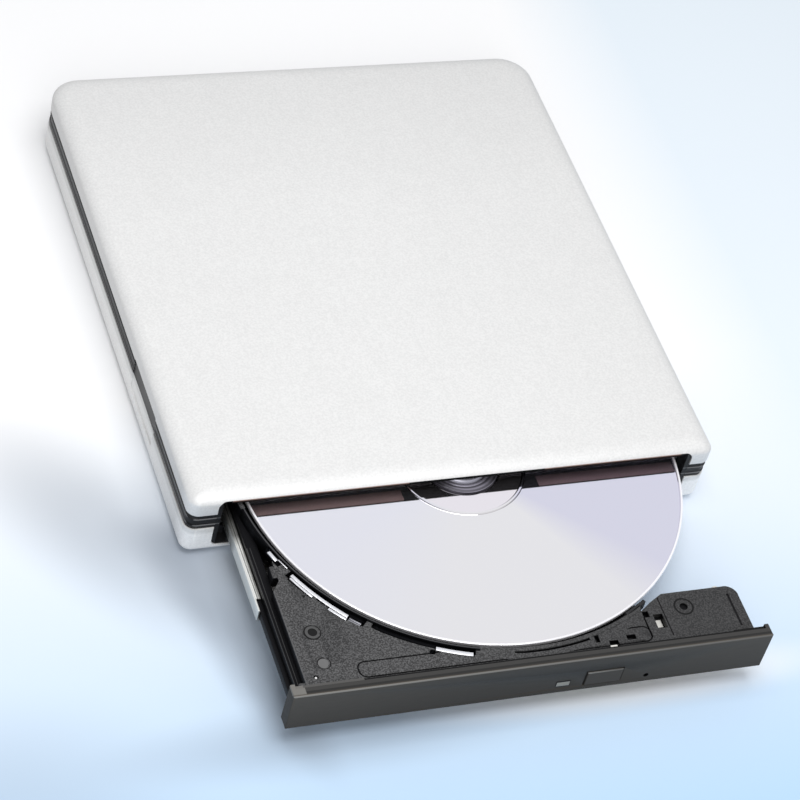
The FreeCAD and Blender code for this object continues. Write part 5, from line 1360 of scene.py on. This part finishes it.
@dataclass
class OpeningSeals(Assembly):
    """Felt strips on the ceiling of the opening: brown at both sides, and between them a black strip that
    stands in for shade.
    """

    brown: Tone = Tone(0.20, 0.135, 0.12)
    black: Tone = Tone(0.006, 0.006, 0.007)
    inner_left: float = -15.0 * MM
    inner_right: float = 22.8 * MM
    end_margin: float = 1.8 * MM
    depth: float = 3.6 * MM
    thick: float = 0.08 * MM
    roll: float = 0.45 * MM
    front_gap: float = 0.03 * MM
    front_fade: tuple[float, float] = (0.02 * MM, 0.3 * MM)
    ceiling_over: float = 0.15 * MM
    hair: float = 0.2 * MM
    hair_tones: tuple[float, float] = (0.7, 1.4)
    relief: tuple[float, float] = (0.05 * MM, 0.7)
    rounding: float = 0.03 * MM

    def build(self) -> list[bpy.types.Object]:
        """Make the three strips."""
        low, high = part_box("bezel")
        middle = middle_of("bezel").x
        left = middle + self.inner_left
        right = middle + self.inner_right
        # the black middle strip stands in for the shade inside the opening
        return [self.strip("seal_left", low.x + self.end_margin, left, self.brown),
                self.strip("seal_middle", left, right, self.black),
                self.strip("seal_right", right, high.x - self.end_margin, self.brown)]

    def strip(self, name: str, start: float, end: float, tone: Tone) -> bpy.types.Object:
        """One strip: flat along the ceiling, rolled up behind the cover's lip.

        Args:
            name: Name of the strip.
            start: Where it starts in x.
            end: Where it ends in x.
            tone: Colour of its felt.

        Returns:
            The strip.
        """
        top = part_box("bezel")[1].z
        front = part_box("top_cover")[0].y + self.front_gap
        ceiling = top + self.ceiling_over
        form = Form()
        form.block((start, front + self.roll, ceiling - self.thick), (end, front + self.depth, ceiling))
        form.block((start, front, ceiling - self.thick),
                   (end, front + self.roll, top + OPENING_OVER - self.front_gap))
        form.ease(self.rounding)
        return self.fit(form.made(name), Body.CASE, Slot.SOFT, own=self.felt(name, tone, front))

    def felt(self, name: str, tone: Tone, front: float) -> bpy.types.Material:
        """Short-haired felt with painted light towards its front, painted shade towards its back, and painted
        shade along its very front edge.

        Args:
            name: Name of the material.
            tone: Its colour.
            front: Where the strip's front lies in y.

        Returns:
            The material.
        """
        ink = Shader(name)
        spot = ink.place(scale=(1.0, 0.3, 1.0))
        _, y, _ = ink.axes(ink.place())
        hair = ink.noise(spot, self.hair, 4.0, 0.7)
        # painted light towards the front, painted shade towards the back and along the very front edge
        faded = ink.spread(y, front, front + self.depth, 1.5, 0.5)
        faded = faded * ink.spread(y, front + self.front_fade[0], front + self.front_fade[1], 0.04, 1.0)
        colour = ink.tint(ink.shades(hair, tone, *self.hair_tones), faded)
        return ink.surface(colour, 0.9, 0.0, ink.bump(hair, *self.relief), Specular_IOR_Level=0.1)


@dataclass
class Tray(Assembly):
    """The moulded tray, its bezel with button and lamp, and the rails."""

    slot_cuts: tuple[Arc, ...] = (
        Arc(62.4, 63.0, 200.25, 205.75), Arc(62.3, 63.2, 205.6, 207.4), Arc(62.4, 63.0, 208.45, 229.45),
        Arc(62.4, 63.0, 231.05, 254.95), Arc(62.4, 64.4, 216.2, 217.6), Arc(64.6, 65.35, 209.5, 216.6),
        Arc(64.3, 65.6, 220.7, 225.7), Arc(63.6, 65.2, 225.6, 229.0), Arc(64.0, 64.8, 245.8, 254.6))
    slot_depth: float = 1.4 * MM
    notch_corner: tuple[float, float] = (-27.95 * MM, 9.83 * MM)
    notch_sides: tuple[tuple[float, float], tuple[float, float]] = (
        (7.6 * MM, 5.4 * MM), (1.2 * MM, 6.96 * MM))
    lip_end: Arc = Arc(60.95, 61.9, 295.5, 302.2)
    lip_end_depth: float = 2.5 * MM
    tip_ease: float = 0.08 * MM
    holes: tuple[Plate, ...] = (Plate(83.05, 85.65, 0.25, 1.35, 0.5), Plate(94.95, 96.65, 7.75, 9.65, 1.4))
    level_marks: tuple[tuple[float, float, float], ...] = (
        (8.4 * MM, 6.3 * MM, 1.85 * MM), (8.4 * MM, 15.7 * MM, 2.15 * MM))
    mark_depth: float = 0.03 * MM
    ledge_drop: float = 3.0 * MM
    runners: tuple[tuple[float, float], ...] = ((1.22 * MM, 0.18 * MM), (2.0 * MM, 0.22 * MM))
    runner_ends: tuple[float, float] = (1.5 * MM, 46.0 * MM)
    runner_height: float = 0.15 * MM
    runner_sink: float = 0.1 * MM
    runner_ease: float = 0.04 * MM
    flange: float = 0.6 * MM
    button_gap: float = 0.2 * MM
    button_shade: float = 0.38 * MM
    button_gap_depth: float = 1.6 * MM
    groove: float = 0.25 * MM
    groove_depth: float = 1.2 * MM
    groove_ends: tuple[float, float] = (19.0 * MM, -9.5 * MM)

    def deck_tools(self) -> list[bpy.types.Object]:
        """Cutters that widen the arc slots, open the notch at the lip's end and level the deck's marks."""
        low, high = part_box("tray")
        level = deck_level()
        roof = high.z + PAST
        notch = Form()
        notch.wedge((high.x + self.notch_corner[0], low.y + self.notch_corner[1]), *self.notch_sides,
                    low.z - PAST, roof)
        tools = [notch.made("lip_notch")]
        for arc in self.slot_cuts:
            cut = Form()
            cut.arc(arc, level - self.slot_depth, roof, middle_of("dvd_disc"))
            tools.append(cut.made("slot_cut"))
        for hole in self.holes:
            first, last = hole.corners()
            cut = Form()
            cut.block(first, (last[0], last[1], roof))
            tools.append(cut.made("hole_cut"))
        for x, y, radius in self.level_marks:
            base = level - self.mark_depth
            cut = Form()
            cut.turned([(0, base), (radius, base), (radius, roof), (0, roof)], (low.x + x, low.y + y), 48,
                       closed=False)
            cut.tidy()
            tools.append(cut.made("mark_cut"))
        return tools

    def front_tools(self) -> list[bpy.types.Object]:
        """Cutters for the groove behind the bezel and the wide gap left of and above the button."""
        low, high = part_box("bezel")
        cap_low, cap_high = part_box("eject_button")
        groove = Form()
        groove.block((low.x + self.groove_ends[0], high.y - self.groove, deck_level() - self.groove_depth),
                     (high.x + self.groove_ends[1], high.y + PAST, high.z + PAST))
        gap = Form()
        gap.block((cap_low.x + self.flange - self.button_gap - self.button_shade, low.y - PAST,
                   cap_low.z - self.button_gap),
                  (cap_high.x - self.flange + self.button_gap, low.y + self.button_gap_depth,
                   cap_high.z + self.button_gap + self.button_shade))
        return [groove.made("bezel_groove"), gap.made("button_gap")]

    def lip_tip(self) -> bpy.types.Object:
        """Upright end of the lip beside the notch."""
        form = Form()
        form.arc(self.lip_end, deck_level() - self.lip_end_depth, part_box("tray")[1].z, middle_of("dvd_disc"))
        form.ease(self.tip_ease)
        return self.fit(form.made("lip_tip"), Body.TRAY, Slot.SOCKET)

    def ridges(self) -> bpy.types.Object:
        """Two low runners along the left ledge."""
        low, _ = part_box("tray")
        ledge = deck_level() - self.ledge_drop
        form = Form()
        for start, width in self.runners:
            form.block((low.x + start, low.y + self.runner_ends[0], ledge - self.runner_sink),
                       (low.x + start + width, low.y + self.runner_ends[1], ledge + self.runner_height))
        form.ease(self.runner_ease)
        grey = Coat(Tone(0.035, 0.035, 0.036), 0.5, shine=0.2).build("runner_grey")
        return self.fit(form.made("ledge_runners"), Body.TRAY, Slot.SOFT, own=grey)

    def build(self) -> list[bpy.types.Object]:
        """Make every piece of the tray and its rails."""
        # the button's finish carries the bezel's painted shade and a painted highlight along its top front
        # edge
        button_grey = SatinFront("eject_button", tone=Tone(0.055, 0.048, 0.041), edge=0.22 * MM,
                                 ends=(1.0, 1.0), block=0.0).build("button_grey")
        rail_steel = RailSteel().build("rail_steel")
        return [
            self.eased("tray", "tray_moulding", Body.TRAY, Slot.TRAY, radius=0.1 * MM, least=1.5 * MM,
                       cutters=self.deck_tools()),
            self.eased("bezel", "front_bezel", Body.TRAY, Slot.BEZEL, radius=0.2 * MM, least=1.5 * MM,
                       cutters=self.front_tools()),
            self.eased("eject_button", "button_cap", Body.BUTTON, Slot.BEZEL, radius=0.12 * MM,
                       least=1.0 * MM, own=button_grey),
            self.eased("led_lens", "lamp_window", Body.TRAY, Slot.WINDOW, radius=0.15 * MM, least=0.5 * MM),
            self.eased("left_rail", "rail_left", Body.LEFT_RAIL, Slot.BRIGHT, radius=0.1 * MM,
                       least=1.0 * MM, own=rail_steel),
            self.eased("right_rail", "rail_right", Body.RIGHT_RAIL, Slot.BRIGHT, radius=0.1 * MM,
                       least=1.0 * MM),
            self.lip_tip(),
            self.ridges(),
        ]


@dataclass
class SpringClips(Assembly):
    """Bright spring strips in the arc slots of the deck, one clip in darker steel as painted shade, and the
    plates that show through its windows.
    """

    thick: float = 0.5 * MM
    rounding: float = 0.05 * MM
    strips: tuple[Arc, ...] = (
        Arc(62.85, 63.75, 201.3, 204.3, 0.1), Arc(62.6, 62.95, 204.3, 207.3),
        Arc(63.0, 63.95, 209.3, 225.3, 0.65), Arc(64.07, 64.7, 209.7, 216.4, 0.32),
        Arc(64.68, 65.4, 220.9, 225.5, 0.1), Arc(63.45, 64.55, 246.0, 254.4))
    # dull: a clip of the same steel, lower down, given darker steel as painted shade
    dull: tuple[Arc, ...] = (
        Arc(63.8, 64.25, 225.8, 228.7, drop=0.5), Arc(64.4, 65.0, 225.8, 228.7, drop=0.5))
    window_plate: Plate = Plate(98.45, 100.25, 5.75, 8.05, 2.4, 2.2)
    window_cover: Plate = Plate(96.65, 102.65, 3.15, 10.65, 2.7, 2.4)
    hole_cover: Plate = Plate(80.65, 92.65, 0.35, 5.15, 1.9, 1.6)
    spring_tip: Plate = Plate(82.55, 84.35, -0.4, 0.05, -0.2, -0.85)

    def bars(self, name: str, strips: Sequence[Arc], slot: Slot,
             nodes: Sequence[str] = ()) -> bpy.types.Object:
        """Several strips as one piece.

        Args:
            name: Name of the piece.
            strips: The strips.
            slot: Its material slot.
            nodes: CAD nodes it stands for.

        Returns:
            The piece.
        """
        form = Form()
        for strip in strips:
            top = deck_level() - strip.drop * MM
            form.arc(strip, top - self.thick, top, middle_of("dvd_disc"))
        form.ease(self.rounding)
        return self.fit(form.made(name), Body.TRAY, slot, nodes)

    def plate(self, name: str, extent: Plate, slot: Slot) -> bpy.types.Object:
        """A flat plate below the deck, or a tip above it."""
        form = Form()
        form.block(*extent.corners())
        form.ease(self.rounding)
        return self.fit(form.made(name), Body.TRAY, slot)

    def build(self) -> list[bpy.types.Object]:
        """Make the strips and the plates."""
        return [
            self.bars("spring_clips", self.strips, Slot.BRIGHT, ["steel_clips"]),
            self.bars("shaded_clip", self.dull, Slot.SCREW),
            self.plate("window_cover", self.window_cover, Slot.SOCKET),
            self.plate("window_plate", self.window_plate, Slot.WHITE),
            self.plate("hole_cover", self.hole_cover, Slot.SOCKET),
            self.plate("spring_tip", self.spring_tip, Slot.WHITE),
        ]


@dataclass
class DeckMarks(Assembly):
    """Round marks of the moulding on the deck: a hollow pin, an ejector mark and the ear's pivot, with black
    washers as painted shade round and in them, a black pip of painted shade and a pale dot of painted
    highlight in a hole.
    """

    ring: tuple[tuple[float, float], ...] = (
        (1.2, -0.05), (1.9, -0.05), (1.9, 0.08), (1.7, 0.14), (1.2, 0.1))
    dome: tuple[tuple[float, float], ...] = ((0.0, -0.05), (1.52, -0.05), (1.46, 0.1), (0.0, 0.1))
    groove: tuple[tuple[float, float], ...] = ((2.2, -0.3), (2.7, -0.3), (2.7, 0.02), (2.2, 0.02))
    # black: tone of the painted shade
    black: Tone = Tone(0.004, 0.004, 0.004)
    grey: Tone = Tone(0.0825, 0.0825, 0.0836)
    pale: Tone = Tone(0.15, 0.15, 0.152)
    # tone of the painted highlight in a hole
    white: Tone = Tone(0.7, 0.7, 0.7)
    pin: tuple[float, float] = (9.0 * MM, 15.7 * MM)
    spot: tuple[float, float] = (9.05 * MM, 6.07 * MM)
    spot_shade: tuple[float, float] = (9.2 * MM, 6.22 * MM)
    dot: tuple[float, float] = (5.89 * MM, 2.21 * MM)
    pip_shade: tuple[float, float] = (10.08 * MM, 26.91 * MM)
    pivot: tuple[float, float] = (-16.1 * MM, 9.7 * MM)

    def flat(self, radius: float, rise: float, foot: float) -> list[tuple[float, float]]:
        """Half section of a flat round mark, from its radius, its rise above the deck and its foot."""
        return [(0.0, foot), (radius, foot), (radius, rise), (0.0, rise)]

    def washer(self, name: str, place: tuple[float, float], rings: Sequence[tuple[float, float]],
               tone: Tone) -> bpy.types.Object:
        """A flat stepped washer on the deck.

        Args:
            name: Name of the washer.
            place: Its middle, from the tray's front left corner, or front right if negative.
            rings: Radius and height above the deck of each corner, in millimetres.
            tone: Its colour.

        Returns:
            The washer.
        """
        low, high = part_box("tray")
        level = deck_level()
        x = place[0] + (low.x if place[0] > 0 else high.x)
        hollow = rings[0][0] > 0
        form = Form()
        form.turned([(r * MM, level + rise * MM) for r, rise in rings], (x, low.y + place[1]), 48, hollow)
        form.tidy()
        own = Coat(tone, 0.55, shine=0.15).build(name)
        return self.fit(form.made(name), Body.TRAY, Slot.TRAY, own=own)

    def build(self) -> list[bpy.types.Object]:
        """Make the marks."""
        return [
            # black washers are painted shade; the pin's ring is lighter than the deck, partly as painted
            # highlight; the dot in the hole is a painted highlight
            self.washer("pin_ring_shade", self.pin, self.flat(2.25, 0.02, -0.1), self.black),
            self.washer("pin_ring", self.pin, self.ring, self.grey),
            self.washer("ejector_mark_shade", self.spot_shade, self.flat(1.755, 0.02, -0.1), self.black),
            self.washer("ejector_mark", self.spot, self.dome, self.pale),
            self.washer("hole_glint", self.dot, self.flat(0.3, 0.02, -0.5), self.white),
            self.washer("pip_shade", self.pip_shade, self.flat(0.35, 0.03, -0.05), self.black),
            self.washer("pivot_ring_shade", self.pivot, self.groove, self.black),
        ]


@dataclass
class DiscAndHub(Assembly):
    """The disc with its moulded rings, on the turned hub; sizes of the disc in millimetres."""

    hole: float = 7.5
    edge: float = 60.0
    sink: float = 0.54
    ring_sink: float = 0.12
    step_sink: float = 0.06
    smooth: float = math.radians(20)
    steps: int = 256

    def outline(self, thick: float) -> list[tuple[float, float]]:
        """Half section of the disc; its mirror lies at its apparent depth under the clear face.

        Args:
            thick: How thick the disc is.

        Returns:
            Radius and height of each corner, in millimetres.
        """
        mirror = thick - self.sink
        step = thick - self.step_sink
        ring = thick - self.ring_sink
        hole = self.hole
        inside = [(hole, thick - 0.2), (hole + 0.05, thick - 0.1), (hole + 0.2, thick)]
        clamp = [(8.3, thick), (8.4, step), (9.1, step), (9.2, thick), (9.9, thick), (10.0, step),
                 (10.4, step), (10.5, thick), (10.6, thick)]
        face = [(10.7, mirror), (16.8, mirror), (16.95, ring), (17.35, ring), (17.5, mirror),
                (59.3, mirror)]
        rim = [(59.45, thick), (59.75, thick), (59.92, thick - 0.08), (self.edge, thick - 0.25),
               (self.edge, 0.25), (59.9, 0.08), (59.7, 0)]
        under = [(17.8, 0), (17.4, self.ring_sink), (16.9, self.ring_sink), (16.5, 0), (hole + 0.2, 0),
                 (hole, 0.15)]
        return inside + clamp + face + rim + under

    def disc(self) -> bpy.types.Object:
        """The disc, turned from one outline."""
        low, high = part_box("dvd_disc")
        outline = self.outline((high.z - low.z) / MM)
        form = Form()
        form.turned([(r * MM, low.z + z * MM) for r, z in outline], middle_of("dvd_disc"), self.steps)
        form.tidy()
        return self.fit(form.made("mirror_disc", self.smooth), Body.ROTOR, Slot.DISC, ["dvd_disc"])

    def build(self) -> list[bpy.types.Object]:
        """Make the disc and the hub."""
        turned_hub = HubMetal().build("turned_hub")
        hub = self.eased("turntable", "hub_and_bell", Body.ROTOR, Slot.BRIGHT, radius=0.08 * MM,
                         least=1.0 * MM, own=turned_hub)
        return [self.disc(), hub]


@dataclass
class Carried:
    """CAD nodes whose own shape is right and that only need their finish."""

    wardrobe: Wardrobe

    def build(self) -> int:
        """Dress every node by its slot in the record.

        Returns:
            How many nodes were dressed.
        """
        slots = {part["node"]: Slot(part["material_slot"]) for part in frame["record"]["subparts"]}
        for node, piece in frame["nodes"].items():
            self.wardrobe.dress(piece, slots[node])
        return len(slots)


@dataclass(frozen=True)
class Lamp:
    """A square soft box: where it hangs, its side and its power."""

    name: str
    place: tuple[float, float, float]
    size: float
    power: float


@dataclass(frozen=True)
class Pool:
    """A soft ellipse of shade on the floor, or of light if its strength is negative."""

    x: float
    y: float
    long: float
    wide: float
    turn: float
    strength: float


@dataclass
class Studio:
    """Pale floor, soft lamps, pale world and the camera."""

    azimuth: float = 29.886
    elevation: float = 45.152
    roll: float = 16.78
    lens: float = 133.961
    sensor: float = 36.0
    nearest: float = 0.01
    eye: tuple[float, float, float] = (-0.28153, -0.49638, 0.57145)
    floor_size: float = 6.0
    floor_near: Tone = Tone(0.50, 0.70, 0.93)
    floor_far: Tone = Tone(0.98, 0.985, 1.0)
    floor_side: Tone = Tone(0.80, 0.885, 0.965)
    floor_shade: Tone = Tone(0.22, 0.25, 0.30)
    near_to_far: tuple[float, float] = (-145.0 * MM, 5.0 * MM)
    side_x: tuple[float, float] = (85.0 * MM, 120.0 * MM)
    side_y: tuple[float, float] = (-90.0 * MM, -30.0 * MM)
    pools: tuple[Pool, ...] = (
        Pool(-0.088, -0.038, 0.056, 0.024, -52.0, 0.42), Pool(-0.070, -0.062, 0.026, 0.011, -68.0, 0.50),
        Pool(-0.062, -0.092, 0.032, 0.010, -72.0, 0.50), Pool(-0.050, -0.109, 0.060, 0.012, 0.0, 0.34),
        Pool(-0.070, -0.047, 0.024, 0.011, -30.0, 0.38), Pool(-0.135, -0.118, 0.055, 0.035, 0.0, 0.22),
        Pool(0.030, -0.104, 0.065, 0.010, 0.0, -0.9))
    world_shown: Tone = Tone(0.94, 0.955, 1.0)
    world_colour: Tone = Tone(1.0, 1.0, 1.0)
    world_light: float = 0.42
    lamps: tuple[Lamp, ...] = (Lamp("front_box", (-0.35, -1.25, 1.05), 0.9, 6.8),
                               Lamp("top_box", (0.0, -0.15, 0.8), 0.6, 4.2))

    def camera(self) -> None:
        """Stand the camera where the photograph was taken from."""
        data = bpy.data.cameras.new("camera")
        data.lens = self.lens
        data.sensor_width = self.sensor
        data.clip_start = self.nearest
        camera = bpy.data.objects.new("camera", data)
        turn = (Matrix.Rotation(math.radians(-self.azimuth), 4, "Z")
                @ Matrix.Rotation(math.radians(90 - self.elevation), 4, "X")
                @ Matrix.Rotation(math.radians(self.roll), 4, "Z"))
        camera.matrix_world = Matrix.Translation(self.eye) @ turn
        bpy.context.scene.collection.objects.link(camera)
        bpy.context.scene.camera = camera

    def floor(self) -> None:
        """Lay a pale floor that cools towards the front and right, with soft shades left of the case."""
        form = Form()
        bmesh.ops.create_grid(form.bm, x_segments=1, y_segments=1, size=self.floor_size)
        piece = form.made("floor")
        ink = Shader("floor")
        x, y, _ = ink.axes(ink.place())
        colour = ink.blend(ink.spread(y, *self.near_to_far, 0.0, 1.0), self.floor_near, self.floor_far)
        right = ink.spread(x, *self.side_x, 0.0, 1.0) * ink.spread(y, *self.side_y, 0.0, 0.9)
        colour = ink.blend(right, colour, self.floor_side)
        for pool in self.pools:
            tone = self.floor_shade if pool.strength > 0 else self.floor_far
            colour = ink.blend(self.cover(ink, pool), colour, tone)
        piece.data.materials.append(ink.surface(colour, 0.9, Specular_IOR_Level=0.0))

    def cover(self, ink: Shader, pool: Pool) -> Sock:
        """How much of the floor's colour a pool takes, falling off softly from its middle.

        Args:
            ink: The floor's node tree.
            pool: The pool.

        Returns:
            The share, from zero to the pool's strength.
        """
        spot = ink.node("ShaderNodeMapping", {"vector_type": "TEXTURE"},
                        {"Vector": ink.place(), "Location": (pool.x, pool.y, 0),
                         "Rotation": (0, 0, math.radians(pool.turn)), "Scale": (pool.long, pool.wide, 1)})
        along, across, _ = ink.axes(spot)
        fall = ink.spread(ink.radius(along, across), 0.15, 1.15, 1.0, 0.0)
        return fall * fall * (3.0 - 2.0 * fall) * abs(pool.strength)

    def world(self) -> None:
        """Pale to the eye and in reflections, dimmer as a lamp."""
        world = bpy.data.worlds.new("world")
        bpy.context.scene.world = world
        world.use_nodes = True
        ink = Nodes(world.node_tree)
        rays = [ink.node("ShaderNodeLightPath", out=ray)
                for ray in ("Is Camera Ray", "Is Glossy Ray", "Is Transmission Ray")]
        light = ink.node("ShaderNodeBackground", {},
                         {"Color": self.world_colour, "Strength": self.world_light})
        shown = ink.node("ShaderNodeBackground", {}, {"Color": self.world_shown})
        mix = ink.node("ShaderNodeMixShader", {}, {0: ink.most(*rays), 1: light, 2: shown})
        ink.feed(ink.tree.nodes.new("ShaderNodeOutputWorld").inputs[0], mix)

    def light(self) -> None:
        """Hang the soft boxes, each turned to the drive."""
        for box in self.lamps:
            data = bpy.data.lights.new(box.name, "AREA")
            data.size = box.size
            data.energy = box.power
            lamp = bpy.data.objects.new(box.name, data)
            lamp.location = box.place
            lamp.rotation_mode = "QUATERNION"
            lamp.rotation_quaternion = (-Vector(box.place)).to_track_quat("-Z", "Y")
            bpy.context.scene.collection.objects.link(lamp)

    def build(self) -> None:
        """Set the whole studio."""
        self.camera()
        self.floor()
        self.world()
        self.light()
        bpy.context.scene.view_settings.view_transform = "Standard"


def main() -> None:
    """Build each sub-assembly and report its pieces."""
    logging.basicConfig(level=logging.INFO, format="%(name)s: %(message)s")
    wardrobe = Wardrobe()
    Studio().build()
    LOG.info("dressed %d nodes", Carried(wardrobe).build())
    for assembly in (CaseShells(wardrobe), OpeningSeals(wardrobe), Tray(wardrobe), SpringClips(wardrobe),
                     DeckMarks(wardrobe), DiscAndHub(wardrobe)):
        for piece in assembly.build():
            LOG.info("%s: %d faces", piece.name, len(piece.data.polygons))


if __name__ == "__main__":
    main()
